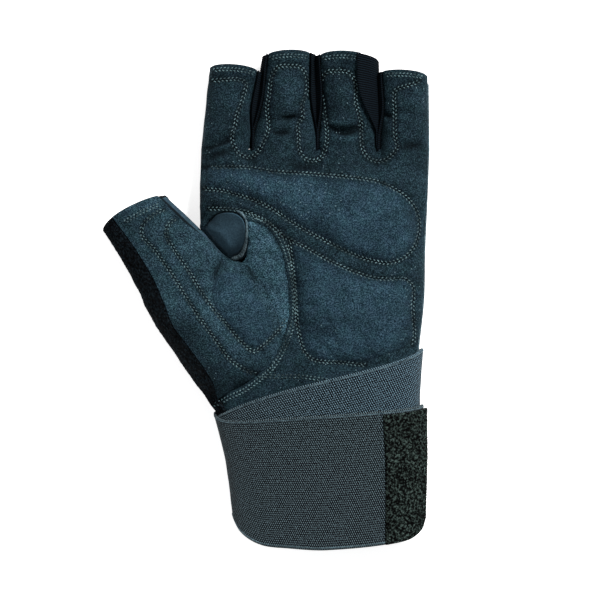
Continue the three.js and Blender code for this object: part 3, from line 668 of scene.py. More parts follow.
def clothMaterial(name, dark, light, **changes):
    # fleece, lining and plain knit: soft speckle with a little pile
    look = {**clothLook, **changes}
    material, tree, shader = startMaterial(name)
    place = wire(tree, "ShaderNodeTexCoord", {}).outputs["Object"]
    grain = noise(tree, place, look["scale"], *look["grain"])
    colour = shade(tree, grain, list(zip(look["ramp"], (dark, light))))
    cloud = noise(tree, place, look["mottleScale"], look["mottleDetail"])
    mottle = shade(tree, cloud, list(zip(look["mottleAt"], look["mottle"])))
    colour = blendColour(tree, 1.0, colour, mottle)
    coat(tree, shader, colour, grain, (look["strength"], look["depth"]), {
        "Roughness": look["roughness"],
        "Specular IOR Level": look["shine"],
        "Sheen Weight": look["nap"],
    })
    return material


weaveLook = {
    "pitch": 0.97,
    "rowPitch": 0.97 / 0.93,
    "lean": 0.45,
    "wander": 0.5,
    "wanderNoise": (0.35, 2.0),
    "loops": 0.3,
    "ribs": 0.22,
    "fibre": 0.9,
    "fibreNoise": (1.1, 3.0, 0.7),
    "level": 0.04,
    "ramp": (0.4, 0.53, 0.82),
    "fadeLength": 320,
    "fade": [(0.0, 1.05), (0.31, (1.15, 1.35, 1.5, 1)), (0.42, 0.92), (1.0, (0.9, 0.9, 0.88, 1))],
    "relief": (0.8, 0.0005),
    "surface": {"Roughness": 0.9, "Specular IOR Level": 0.1, "Sheen Weight": 0.05},
}


def weaveMaterial(name, shades):
    # elastic webbing: rows of raised loops that lean over, with dark holes between them
    look = weaveLook
    material, tree, shader = startMaterial(name)
    place = wire(tree, "ShaderNodeUVMap", {}, uv_map="cloth").outputs["UV"]
    parts = wire(tree, "ShaderNodeSeparateXYZ", {"Vector": place})
    wander = noise(tree, place, *look["wanderNoise"])
    along = maths(tree, "MULTIPLY_ADD", parts.outputs["Y"], look["lean"], parts.outputs["X"])
    along = maths(tree, "ADD", along, maths(tree, "MULTIPLY", wander, look["wander"]))
    ribs = maths(tree, "SINE", maths(tree, "MULTIPLY", along, 2 * math.pi / look["pitch"]), 0.0)
    across = maths(tree, "MULTIPLY", parts.outputs["Y"], 2 * math.pi / look["rowPitch"])
    loops = maths(tree, "MULTIPLY", ribs, maths(tree, "SINE", across, 0.0))
    fibre = noise(tree, place, *look["fibreNoise"])
    height = look["level"]
    for part, share in ((loops, look["loops"]), (ribs, look["ribs"]), (fibre, look["fibre"])):
        height = maths(tree, "MULTIPLY_ADD", part, share, height)
    colour = shade(tree, height, list(zip(look["ramp"], shades)))
    run = maths(tree, "MULTIPLY", parts.outputs["X"], 1 / look["fadeLength"])
    colour = blendColour(tree, 1.0, colour, shade(tree, run, look["fade"]))
    coat(tree, shader, colour, height, look["relief"], look["surface"])
    return material


ribLook = {
    "swing": 0.36,
    "level": 0.2,
    "fibreNoise": (1.6, 3.0, 0.7),
    "fibre": 0.5,
    "ramp": (0.3, 0.85),
    "relief": (0.6, 0.0004),
    "surface": {"Roughness": 0.9, "Specular IOR Level": 0.08},
}


def ribbedMaterial(name, dark, light):
    # ribs lie across the strip, one to each pitch of its length; the colour follows their height, painted
    # light on the crests and painted shade between
    look = ribLook
    material, tree, shader = startMaterial(name)
    place = wire(tree, "ShaderNodeUVMap", {}, uv_map="cloth").outputs["UV"]
    parts = wire(tree, "ShaderNodeSeparateXYZ", {"Vector": place})
    turn = maths(tree, "MULTIPLY", parts.outputs["Y"], 2 * math.pi / form["ribPitch"])
    height = maths(tree, "MULTIPLY_ADD", maths(tree, "COSINE", turn, 0.0), look["swing"], look["level"])
    fibre = noise(tree, place, *look["fibreNoise"])
    height = maths(tree, "ADD", height, maths(tree, "MULTIPLY", fibre, look["fibre"]))
    colour = shade(tree, height, list(zip(look["ramp"], (dark, light))))
    coat(tree, shader, colour, height, look["relief"], look["surface"])
    return material


suedeFinish = suedeMaterial("suede", (linear(8, 18, 23), linear(22, 38, 46), linear(52, 73, 83)))
# the pads' suede is the palm's suede made lighter: painted light on the raised pads
litPadFinish = suedeMaterial("lit pad suede", (linear(12, 27, 35), linear(31, 51, 63), linear(62, 87, 101)))
hemFinish = suedeMaterial("hem suede", (linear(38, 54, 64), linear(48, 66, 78), linear(56, 76, 88)))
liningFinish = clothMaterial("lining", linear(14, 22, 27), linear(40, 54, 62), scale=700.0, depth=0.0003)
backFinish = clothMaterial("back cloth", linear(3, 5, 7), linear(22, 28, 33), depth=0.0004)
fleeceFinish = clothMaterial(
    "fleece", linear(0, 0, 1), linear(30, 42, 49),
    scale=1000.0, roughness=1.0, nap=0.02, depth=0.0008, ramp=(0.46, 0.68),
)
ribFinish = ribbedMaterial("rib cloth", linear(0, 0, 2), linear(17, 29, 37))
stretchFinish = clothMaterial(
    "stretch cloth", linear(40, 61, 74), linear(60, 86, 100), scale=1500.0, roughness=0.8
)
bindingFinish = clothMaterial(
    "binding", linear(38, 54, 62), linear(104, 126, 134), roughness=0.85, nap=0.1, depth=0.0002
)
# the thread is dark; its lighter shades are a painted highlight on each stitch
highlitThreadFinish = clothMaterial(
    "thread", linear(42, 65, 71), linear(118, 144, 148),
    scale=1800.0, roughness=0.8, mottle=(0.35, 1.6), mottleScale=160.0,
)
holeShadeFinish = clothMaterial("needle hole shade", linear(2, 6, 9), linear(8, 14, 18), roughness=1.0, nap=0.0)
elasticFinish = weaveMaterial("elastic", (linear(0, 0, 2), linear(10, 19, 25), linear(112, 134, 143)))
closureFinish = clothMaterial(
    "closure pile", linear(0, 0, 0), linear(78, 95, 90),
    roughness=1.0, nap=0.0, depth=0.001, ramp=(0.49, 0.68),
)
print("finishes made")

# Camera and light: straight above the glove, with a soft key from the upper right
view = {
    "x": 15.9,
    "y": -0.22,
    "height": 2500.0,
    "width": 280.2,
    "level": 12.0,
    "sensor": 36.0,
    "farthest": 20.0,  # in metres
}
cameraData = bpy.data.cameras.new("camera")
cameraData.sensor_width = view["sensor"]
cameraData.lens = view["sensor"] * (view["height"] - view["level"]) / view["width"]
cameraData.clip_end = view["farthest"]
camera = bpy.data.objects.new("camera", cameraData)
camera.location = (view["x"] / 1000, view["y"] / 1000, view["height"] / 1000)
bpy.context.scene.collection.objects.link(camera)
bpy.context.scene.camera = camera

light = {
    "sky": 0.32,
    "key": {"place": (0.85, 1.0, 1.25), "size": 0.5, "power": 39.0},
    "side": {"place": (-1.2, -0.3, 1.0), "size": 1.2, "power": 3.0},
}
for name in ("key", "side"):
    part = light[name]
    data = bpy.data.lights.new(name, "AREA")
    data.size = part["size"]
    data.energy = part["power"]
    lamp = bpy.data.objects.new(name, data)
    lamp.location = part["place"]
    lamp.rotation_euler = (-Vector(part["place"])).to_track_quat("-Z", "Y").to_euler()
    bpy.context.scene.collection.objects.link(lamp)
world = bpy.data.worlds.new("studio")
world.use_nodes = True
world.node_tree.nodes["Background"].inputs["Color"].default_value = (1, 1, 1, 1)
world.node_tree.nodes["Background"].inputs["Strength"].default_value = light["sky"]
bpy.context.scene.world = world
bpy.context.scene.view_settings.view_transform = "Standard"

stage = {"half": 3.0, "paper": [(0.0, 0.93), (1.0, 0.96)], "grain": 40.0, "glow": 0.75}
floorMaterial, floorTree, floorShader = startMaterial("floor")
paper = wire(floorTree, "ShaderNodeTexNoise", {"Scale": stage["grain"]}).outputs["Fac"]
floorTree.links.new(shade(floorTree, paper, stage["paper"]), floorShader.inputs["Base Color"])
setValues(floorShader, {
    "Roughness": 1.0,
    "Specular IOR Level": 0.25,
    "Emission Color": (1, 1, 1, 1),
    "Emission Strength": stage["glow"],
})
floorMesh = bpy.data.meshes.new("floor")
corners = [(x * stage["half"], y * stage["half"], 0) for x, y in ((-1, -1), (1, -1), (1, 1), (-1, 1))]
floorMesh.from_pydata(corners, [], [(0, 1, 2, 3)])
floorMesh.materials.append(floorMaterial)
floor = bpy.data.objects.new("floor", floorMesh)
bpy.context.scene.collection.objects.link(floor)

# Seams, as plan lines
lineStep = {"seam": 0.6, "fold": 0.8, "rim": 0.8, "binding": 0.4}
keyholeTable = (
    (-0.6, 0.66), (-0.507, 0.694), (-0.48, 0.722), (-0.441, 0.746), (-0.392, 0.754),
    (-0.348, 0.746), (-0.313, 0.722), (-0.242, 0.702), (-0.194, 0.663), (-0.159, 0.603),
    (-0.134, 0.523), (-0.121, 0.435), (-0.119, 0.339), (-0.145, 0.251), (-0.207, 0.144),
    (-0.26, 0.1), (-0.326, 0.056), (-0.392, 0.028), (-0.454, 0.0), (-0.6, -0.01),
)
thumbPadTable = (
    (-0.401, 0.505), (-0.315, 0.497), (-0.25, 0.399), (-0.195, 0.295), (-0.216, 0.248),
    (-0.278, 0.212), (-0.34, 0.248), (-0.397, 0.303), (-0.45, 0.379), (-0.46, 0.44),
    (-0.442, 0.485),
)
keyhole = shareOutline(keyholeTable, lineStep["seam"])
thumbPadLine = shareOutline(thumbPadTable, lineStep["seam"])

seamPixels = {
    "stalls": (
        (211, 81), (226, 80), (239, 80), (246, 84), (245, 91), (241, 105), (237, 115), (235, 126),
        (232, 136), (234, 146), (240, 154), (249, 157.5), (257, 153), (264, 141), (268.5, 128), (268, 120),
        (267, 107), (269, 96), (270, 86), (272, 76), (278, 67.5), (290, 66.5), (301, 68), (306, 76),
        (307, 91), (302, 106), (303, 116), (298, 125), (298.6, 136), (299, 149), (304, 158), (312, 161),
        (321, 158), (326, 146), (327, 132), (324.5, 114), (323, 103), (321.6, 95), (321, 83), (326, 73),
        (337, 71.5), (348, 73), (353, 78), (355.6, 86), (355.6, 101), (359, 115), (361, 124), (361, 135),
        (362, 147), (366, 156), (374, 161), (383, 161), (391, 156), (397, 147), (395, 137), (394.6, 120),
        (394.6, 110), (394, 99), (395, 91), (404, 87), (414, 84), (419, 81),
    ),
    "upperPad": (
        (202, 167), (208, 168), (223, 167.5), (248, 168), (273, 172), (306, 174), (339, 177), (372, 181),
        (389, 187), (406, 198), (416, 211), (419, 226), (415.5, 243), (406, 256), (389, 263), (372, 261),
        (356, 256), (339, 248), (323, 240), (306, 231), (289, 221), (273, 210), (256, 201), (240, 196),
        (223, 191), (208, 189.5), (203, 189),
    ),
    "heelTop": (
        (207, 209), (220, 209), (234, 210), (248, 213), (261, 220), (273, 228), (283, 236), (306, 248.5),
        (323, 258), (339, 266), (356, 273), (372, 278), (389, 279.5), (404, 279), (412, 286), (413, 296),
        (412, 307), (413, 320), (414, 334), (413, 346),
    ),
    "heelSide": (
        (289, 242), (292, 262), (295, 290), (297, 320), (300, 338), (305, 352), (314, 359.5), (326, 361.5),
        (340, 362), (356, 364), (366, 365),
    ),
    "palmFold": (
        (176, 218), (168, 226), (167, 236), (174, 249), (189, 271), (202, 292), (214, 309), (229, 327),
        (241, 341), (254, 351), (265, 344), (278, 331), (287, 319),
    ),
    "thumbSide": (
        (165, 209), (154, 215), (143, 226), (143, 237), (154, 249), (165, 264), (179, 285), (192, 306),
        (205, 325), (218, 343), (230, 359), (243, 368), (257, 374), (272, 376), (297, 376), (330, 380),
    ),
}
heelPadPixels = (
    (293, 245), (306, 249), (323, 258), (339, 266), (356, 273), (372, 278), (389, 279.5), (404, 279),
    (412, 286), (413, 296), (412, 307), (413, 322), (412, 338), (404, 348), (386, 355), (366, 361),
    (340, 362), (314, 359.5), (305, 352), (300, 338), (297, 320), (295, 290), (292, 262),
)


def seamLine(places, closed=False):
    return smoothLine(fromPhoto(places), lineStep["seam"], closed)


def foldLines(creases):
    return [dict(fold, line=smoothLine(fromPhoto(fold["line"]), lineStep["fold"])) for fold in creases]


seams = {name: seamLine(places) for name, places in seamPixels.items()}
upperPadLine = seamLine(seamPixels["upperPad"][1:-1], True)
heelPadLine = seamLine(heelPadPixels, True)

# Folds and dents on the palm side: a line, how deep (a ridge is negative) and how wide
foldPixels = (
    {"line": ((281, 118), (288, 119.5), (297, 117)), "deep": 1.6, "wide": 1.1},
    {"line": ((276, 125), (286, 124.5), (295, 126)), "deep": -1.3, "wide": 1.9},
    {"line": ((270, 130), (278, 133.5), (288, 132)), "deep": 1.7, "wide": 1.2},
    {"line": ((328, 127), (336, 131), (345, 132.5), (353, 130.5), (362, 125)), "deep": 1.9, "wide": 1.5},
    {"line": ((330, 121), (340, 124), (352, 123)), "deep": -0.6, "wide": 2.0},
    {"line": ((331, 138), (345, 140), (356, 138)), "deep": -0.9, "wide": 2.6},
    {"line": ((377, 111), (386, 116), (393, 117)), "deep": 1.5, "wide": 1.3},
    {"line": ((205, 150), (219, 144), (231, 139)), "deep": 2.0, "wide": 1.4},
    {"line": ((206, 159), (220, 154), (232, 150)), "deep": 1.2, "wide": 1.6},
    {"line": ((400, 150), (412, 146), (424, 147)), "deep": 1.1, "wide": 2.0},
    {"line": ((285, 160), (300, 166), (322, 167)), "deep": 0.9, "wide": 2.2},
    {"line": ((286, 88), (288, 100), (287, 112)), "deep": -0.5, "wide": 3.5},
)
folds = foldLines(foldPixels)

# A sewn valley, a narrow one in a broad one, and the waves that its thread draws up beside it; its tone is
# painted shade down the valley and painted light and shade on the waves
seamForm = {
    "narrow": 1.1,
    "narrowShare": 0.6,
    "broad": 2.8,
    "pucker": 0.16,
    "wave": 4.6,
    "sway": 2.2,
    "beat": 7.0,
    "beside": 2.0,
    "width": 1.8,
    "shade": 0.62,
    "shadeWidth": 1.4,
    "waveShade": 0.5,
}
# a fold's tone is painted shade in a crease and painted light on a ridge, held between lightest and darkest
foldForm = {"deepen": 1.35, "ends": 0.25, "shade": 0.55, "lightest": -0.3, "darkest": 0.75, "width": 0.95}


def ripples(x, y, rows):
    # each row is a ripple's height, size and seed
    return sum(height * ripple(x, y, size, seed) for height, size, seed in rows)


def threadPull(along, wave, sway, beat, seed):
    return np.sin(2 * np.pi * along / wave + sway * np.sin(along / beat + seed))


def seamRelief(x, y, line, seed, depth):
    shape = seamForm
    distance, along = fromLine(x, y, line)
    share = shape["narrowShare"]
    valley = share * bell(distance, shape["narrow"]) + (1 - share) * bell(distance, shape["broad"])
    pull = threadPull(along, shape["wave"], shape["sway"], shape["beat"], seed)
    waves = shape["pucker"] * pull * bell(distance - shape["beside"], shape["width"])
    # painted shade in the valley, painted light and shade that follow the waves
    tone = 1 - shape["shade"] * bell(distance, shape["shadeWidth"]) + shape["waveShade"] * waves
    return waves - depth * valley, tone


def foldRelief(x, y, creases):
    relief = np.zeros(x.shape)
    tone = np.ones(x.shape)
    for fold in creases:
        distance, along = fromLine(x, y, fold["line"])
        strength = mix(foldForm["ends"], 1, arch(along / runOf(fold["line"])[-1]))
        size = foldForm["deepen"] * fold["deep"] * strength
        relief -= size * bell(distance, fold["wide"])
        # painted shade in the crease, painted light where the fold is a ridge
        shadow = np.clip(foldForm["shade"] * size, foldForm["lightest"], foldForm["darkest"])
        tone *= 1 - shadow * bell(distance, fold["wide"] * foldForm["width"])
    return relief, tone


# Palm panel: suede from the cuff to the four mouths, cut out round the thumb
palm = {
    "cut": (126, 200),  # width and length, laid flat
    "thickness": 1.6,
    "roll": 0.35,
    "steps": 36,
    "rows": 166,
    "stallRows": 56,
    "inset": 0.004,
    "hemRise": 0.35,
    "ripples": ((0.34, 19.0, 11), (0.2, 8.0, 12)),
    "mottle": ((0.12, 24.0, 13),),
    "seams": {"stalls": 0.75, "upperPad": 1.0, "heelTop": 1.0, "heelSide": 0.9},
    "stallShade": 0.84,
    "stallRun": (0.8, 1.0),
    "tones": (0.25, 1.4),
    "dip": {"deep": 0.45, "at": 1.9, "wide": 1.3},  # beside the thumb's seam
    "lip": {"high": 0.3, "wide": 1.0},
    "shadow": {"dark": 0.2, "at": 3.6, "wide": 1.0},
}
hemEdge = (6.0, 4.8)  # where a turned hem ends, in from the mouth
fade = {"edge": 0.05, "stallFrom": 0.97}


def palmRelief(x, y):
    relief = ripples(x, y, palm["ripples"])
    # painted shade: the leather darkens from the palm over the stalls
    tone = mix(1, palm["stallShade"], smooth(*palm["stallRun"], y / palmLength))
    tone = tone + ripples(x, y, palm["mottle"])
    for seed, (name, depth) in enumerate(palm["seams"].items()):
        valley, dark = seamRelief(x, y, seams[name], seed, depth)
        relief += valley
        tone *= dark
    distance, _ = fromLine(x, y, keyhole, True)
    dip, lip, shadow = palm["dip"], palm["lip"], palm["shadow"]
    ridge = lip["high"] * bell(distance, lip["wide"])
    relief += ridge - dip["deep"] * bell(distance - dip["at"], dip["wide"])
    tone *= 1 - shadow["dark"] * bell(distance - shadow["at"], shadow["wide"])
    valley, dark = foldRelief(x, y, folds)
    return relief + valley, np.clip(tone * dark, *palm["tones"])


def holdsCloth(us, vs):
    u = (us[:-1] + us[1:])[:, None] / 2
    v = (vs[:-1] + vs[1:])[None, :] / 2
    finger = np.clip(np.floor(u), 0, 3)
    f = u - finger
    return (v < 1) | isOuter(finger, f) | ((f > webShare) & (f < 1 - webShare))


def stallFade(us, vs):
    # nothing stands out at the edges that the ribbed strips are sewn to
    f = us - np.clip(np.floor(us), 0, 3)
    near = smooth(webShare, webShare + fade["edge"], f)
    near = near * smooth(1 - webShare, 1 - webShare - fade["edge"], f)
    return mix(1, near, smooth(fade["stallFrom"], 1.0, vs))


us, vs = fingerGrid(palm)
U, V = gridOf(us, vs)
palmBase = glovePoints(U, V, 1)
palmNormal = normalsOf(palmBase, 1)
palmRise, palmTone = palmRelief(palmBase[..., 0], palmBase[..., 1])
palmRise = palmRise * smooth(0, fade["edge"], U) * smooth(4, 4 - fade["edge"], U)
palmRise += palm["hemRise"] * smooth(*hemEdge, (2 - V) * stalls["length"])
palmTop = palmBase + palmNormal * (palmRise * stallFade(U, V))[..., None]
kept = trimTo(palmTop, palmNormal, keyhole, holdsCloth(us, vs), inside=False)
palmLow = palmTop - palmNormal * palm["thickness"]
palmPiece = makeSheet(
    "palm_leather", palmTop, palmLow, kept, 1, [suedeFinish, liningFinish], roll=palm["roll"], tone=palmTone
)
standFor("palm_panel")
print("palm made", len(palmPiece.data.polygons))

# The seam that joins palm and back shows as a thin line down the right edge
sideSeam = {
    "at": 3.985,
    "run": (-0.05, 1.9),
    "steps": 160,
    "beside": (0.1, 0, 0.1),
    "radius": 0.5,
    "sides": 8,
}
heights = np.linspace(*sideSeam["run"], sideSeam["steps"])
sideLine = glovePoints(np.full(heights.shape, sideSeam["at"]), heights, 1) + sideSeam["beside"]
sidePiece = sweep("side_seam", sideLine, sideSeam["radius"], sideSeam["sides"], bindingFinish)

# Back panel
back = {
    "cut": (130, 200),
    "thickness": 1.5,
    "roll": 0.2,
    "steps": 30,
    "rows": 130,
    "stallRows": 46,
    "inset": 0.004,
    "hemRise": 0.3,
    "ripples": ((0.25, 16.0, 21),),
    "highest": 0.4,
    "flatBelow": (0.5, 2.5),  # where it rests it stays flat
    "seamGap": 0.4,
    "seamRun": (0.015, 0.72),
    "seamSteps": 60,
}

# The thumb stall from its mouth, at 0, to the wrist: the back panel ends where the thumb's back begins
thumb = {
    "at": (0.0, 0.125, 0.25, 0.375, 0.5, 0.625, 0.75, 0.875, 1.0),
    "outerX": (-0.941, -0.864, -0.793, -0.745, -0.692, -0.634, -0.577, -0.515, -0.471),
    "outerY": (0.675, 0.567, 0.447, 0.355, 0.271, 0.196, 0.12, 0.044, -0.012),
    "innerX": (-0.665, -0.573, -0.485, -0.401, -0.286, -0.207, -0.15, -0.21, -0.385),
    "innerY": (0.812, 0.734, 0.655, 0.575, 0.527, 0.407, 0.255, 0.135, 0.034),
    "backX": (-0.665, -0.576, -0.512, -0.49, -0.475, -0.46, -0.448, -0.44, -0.44),
    "backY": (0.812, 0.732, 0.655, 0.56, 0.46, 0.36, 0.25, 0.13, 0.015),
    "outerZ": (0.4, 0.39, 0.38, 0.38, 0.39, 0.4, 0.42, 0.45, 0.49),
    "innerZ": (0.4, 0.4, 0.42, 0.47, 0.63, 0.8, 0.96, 0.91, 0.72),
    "crown": (0.35, 0.38, 0.41, 0.46, 0.48, 0.42, 0.31, 0.2, 0.06),
    "backZ": (0.4, 0.39, 0.34, 0.2, 0.13, 0.13, 0.15, 0.22, 0.36),
    "belly": (0.34, 0.36, 0.36, 0.32, 0.28, 0.24, 0.18, 0.12, 0.05),
    "valley": (0, 0, 0, 0.35, 0.9, 1, 1, 1, 1),
    "fleece": (0.3, 0.3, 0.3, 0.31, 0.31, 0.33, 0.36, 0.4, 0.45),
}
thumbAt = columns(thumb)
backSeam = {"at": (-0.72,) + tuple(-y for y in thumb["backY"][3:]), "x": (-0.485,) + thumb["backX"][3:]}
backSeamAt = column(backSeam, "x")

us, vs = fingerGrid(back)
U, V = gridOf(us, vs)
backBase = glovePoints(U, V, -1)
backNormal = normalsOf(backBase, -1)
share = np.linspace(*back["seamRun"], back["seamSteps"])
seamX = palmWidth * backSeamAt(-share) + back["seamGap"]
seamY = palmLength * share
thumbSide = np.concatenate([
    [(-palmWidth, seamY[0])], np.stack([seamX, seamY], -1), [(-palmWidth, seamY[-1])]
])
uv = backBase[..., :2]
backRise = ripples(uv[..., 0], uv[..., 1], back["ripples"])
backRise += back["hemRise"] * smooth(*hemEdge, (2 - V) * stalls["length"])
backRise = np.minimum(backRise * smooth(*back["flatBelow"], backBase[..., 2]), back["highest"])
backTop = backBase + backNormal * backRise[..., None]
backTop[..., 2] = np.maximum(backTop[..., 2], 0.0)
kept = trimTo(backTop, backNormal, thumbSide, holdsCloth(us, vs), inside=False)
backLow = backTop - backNormal * back["thickness"]
backPiece = makeSheet(
    "back_cloth", backTop, backLow, kept, -1, [backFinish, liningFinish], roll=back["roll"], uv=uv
)
standFor("back_panel")
print("back made", len(backPiece.data.polygons))

# Ribbed strips between the stalls: down one stall's side, round the crotch and up the next
ribs = {
    "cut": (22, 100),
    "thickness": 1.1,
    "height": 0.34,
    "sunk": 0.3,
    "lowest": 0.2,
    "web": -1.7,
    "steps": 17,
    "rows": 150,
    "turns": 40,
    "roundness": 0.5,
    "puff": 0.05,
    "puffPower": 0.7,
    "puffRun": (0.25, 1.0),
    "turnRun": (0.1, 1.0),
    "flatRun": (0.85, 1.0),
    "tuck": {"share": 0.06, "reach": 1.1, "deep": 1.7, "thickness": 0.4},  # under the leather's edge
}


def ribLine(finger, onRight, t, reach):
    inside = np.minimum(np.abs(reach), 1)
    fingers = np.full(reach.shape, finger)
    height = np.full(reach.shape, t)
    onPalm = 1 - palmEdge(fingers, height) if onRight else leftEdge(height)
    wide = np.where(reach > 0, onPalm, webShare)
    turn = wide * inside + ribs["tuck"]["share"] * (np.abs(reach) > 1)
    f = 1 - turn if onRight else turn
    points = np.where(
        (reach >= 0)[:, None], stallPoints(fingers, f, height, 1), stallPoints(fingers, f, height, -1)
    )
    # it puffs out to fill the slit
    swell = (slitAt(t) + ribs["puff"]) * (1 - smooth(*ribs["puffRun"], np.abs(reach))) ** ribs["puffPower"]
    points[:, 0] += swell if onRight else -swell
    return points


def ribStrip(name, node, finger):
    tuck = ribs["tuck"]
    reach = np.concatenate([[-tuck["reach"]], np.linspace(-1, 1, ribs["steps"]), [tuck["reach"]]])
    heights = np.linspace(1, ribs["lowest"], ribs["rows"])
    down = [ribLine(finger, True, t, reach) for t in heights]
    up = [ribLine(finger + 1, False, t, reach) for t in heights][::-1]
    puff = 1 - smooth(*ribs["turnRun"], np.abs(reach))
    turns = []
    for step in np.linspace(0, 1, ribs["turns"])[1:-1]:
        turn = math.cos(math.pi * step)
        row = mix(down[-1], up[0], 0.5 - 0.5 * math.copysign(abs(turn) ** ribs["roundness"], turn))
        low = mix(row[:, 1], palmLength + ribs["web"], arch(step) ** ribs["roundness"])
        row[:, 1] = mix(low, row[:, 1], puff)
        turns.append(row)
    points = np.array(down + turns + up)
    normals = normalsOf(points, 1)
    run = runOf(points[:, 2])[:, None]
    relief = ribs["height"] * (0.5 + 0.5 * np.cos(2 * np.pi * run / form["ribPitch"])) - ribs["sunk"]
    flat = 1 - smooth(*ribs["flatRun"], np.abs(reach))[None, :]
    tucked = (np.abs(reach) > 1)[None, :]
    top = points + normals * (relief * flat - tuck["deep"] * tucked)[..., None]
    low = top - normals * np.where(tucked, tuck["thickness"], ribs["thickness"])[..., None]
    uv = np.stack(np.broadcast_arrays(runOf(points[len(reach) // 2])[None, :], run), -1)
    piece = makeSheet(name, top, low, allCells(points), 1, [ribFinish], uv=uv)
    standFor(node)


ribStrip("rib_one", "rib_index_middle", 0)
ribStrip("rib_two", "rib_middle_ring", 1)
ribStrip("rib_three", "rib_ring_little", 2)
print("ribs made")

# Thumb: its front, its outer side and its back are parts of one tube
creaseTable = ((-0.368, 0.57), (-0.425, 0.545), (-0.455, 0.505), (-0.475, 0.44))
crease = np.array(creaseTable) * [palmWidth, palmLength]
thumbForm = {
    "cut": (62, 120),
    "length": 100.0,  # from the mouth to the wrist
    "thickness": 1.6,
    "roll": 0.3,
    "steps": 90,
    "rows": 160,
    "bow": 0.035,
    "fade": 4,
    "creaseDepth": 2.4,
    "creaseWidth": 3.6,
    "end": 1.12,
    "tail": (38.0, -55.0),
    "last": 0.994,
    "seamGap": 0.012,
    "hemRise": 0.3,
    "hemEdge": (6.0, 4.6),
    "flatEdges": (0.05, 0.96),
    "fleeceGrows": 0.1,
    "fleeceRun": (0.94, 1.0),
    "left": -0.525,
    "low": -20.0,
    "ripples": ((0.32, 17.0, 31), (0.16, 7.0, 32)),
    "tone": 1.58,
    "mottle": ((0.14, 20.0, 33),),
    "tones": (0.25, 2.4),
    "seamDepth": 0.8,
}
# The back's hem, which shows beyond the suede on the thumb's inner side
backHem = {
    "share": 0.18,
    "full": 0.12,
    "to": 0.44,
    "beyond": 0.03,
    "across": (0.76, 0.995, 24),
    "from": 0.002,
    "rows": 70,
    "low": 1.2,
    "sinksFrom": 0.93,
    "least": 0.001,
    "thickness": 0.6,
    "roll": 0.2,
    "tones": (0.15, 1.2),
    "shadowRun": (0.5, 0.64),
}


def thumbPoints(s, t, side):
    past = np.maximum(t - 1, 0)  # beyond its seam the thumb runs on towards the wrap
    t = np.minimum(t, 1)
    at = t - thumbForm["bow"] * arch(s) * (1 - np.clip(t, 0, 1)) ** thumbForm["fade"]
    fold = 1 - np.cos(np.pi * s / 2)
    share = mix(turnOf(s), fold, thumbAt["valley"](at)) if side > 0 else turnOf(s)
    edge = "inner" if side > 0 else "back"
    x = palmWidth * mix(thumbAt["outerX"](at), thumbAt[edge + "X"](at), share) + thumbForm["tail"][0] * past
    y = palmLength * mix(thumbAt["outerY"](at), thumbAt[edge + "Y"](at), share) + thumbForm["tail"][1] * past
    level = mix(thumbAt["outerZ"](at), thumbAt[edge + "Z"](at), smooth(0, 1, s))
    swell = thumbAt["crown"](at) if side > 0 else -thumbAt["belly"](at)
    z = palmDepth * (level + swell * np.sin(np.pi * s))
    if side < 0:
        return np.stack([x, y, np.maximum(z, 0)], -1)
    away, _ = fromLine(x, y, crease)
    return np.stack([x, y, z - thumbForm["creaseDepth"] * bell(away, thumbForm["creaseWidth"])], -1)


def fleeceShare(t):
    grown = thumbForm["fleeceGrows"] * smooth(*thumbForm["fleeceRun"], t)
    return thumbAt["fleece"](np.minimum(t, 1)) + grown


def hemShare(t):
    return backHem["share"] * smooth(backHem["to"], backHem["full"], t)


def suedePoints(s, t):
    first = fleeceShare(t) + thumbForm["seamGap"]
    return thumbPoints(mix(first, thumbForm["last"] - hemShare(t), s), t, 1)


thumbFoldPixels = (
    {"line": ((224, 257), (221, 264), (217, 269), (212, 282)), "deep": 1.0, "wide": 1.2},
    {"line": ((232, 262), (229, 271), (222, 281)), "deep": -0.7, "wide": 2.2},
    {"line": ((206, 262), (199, 272), (196, 281)), "deep": 0.5, "wide": 1.8},
    {"line": ((186, 231), (180, 243)), "deep": 0.4, "wide": 2.5},
    {"line": ((246, 256), (249, 268), (258, 284)), "deep": 0.8, "wide": 1.6},
)
thumbPatches = (
    {"at": (166, 287), "size": 9.0, "change": 0.5},
    {"at": (222, 310), "size": 14.0, "change": 0.3},
    {"at": (190, 240), "size": 10.0, "change": 0.25},
    {"at": (132, 222), "size": 8.0, "change": -0.45},
    {"at": (178, 333), "size": 9.0, "change": -0.6},
    {"at": (205, 385), "size": 14.0, "change": -0.75},
    {"at": (240, 395), "size": 12.0, "change": -0.4},
)
thumbFolds = foldLines(thumbFoldPixels)


def thumbRelief(x, y):
    relief = ripples(x, y, thumbForm["ripples"])
    tone = thumbForm["tone"] + ripples(x, y, thumbForm["mottle"])
    for spot in thumbPatches:
        px, py = fromPhoto([spot["at"]])[0]
        tone += spot["change"] * bell(np.hypot(x - px, y - py), spot["size"])
    for seed, name in enumerate(("palmFold", "thumbSide")):
        valley, dark = seamRelief(x, y, seams[name], seed + 4, thumbForm["seamDepth"])
        relief += valley
        tone *= dark
    valley, dark = foldRelief(x, y, thumbFolds)
    return relief + valley, np.clip(tone * dark, *thumbForm["tones"])


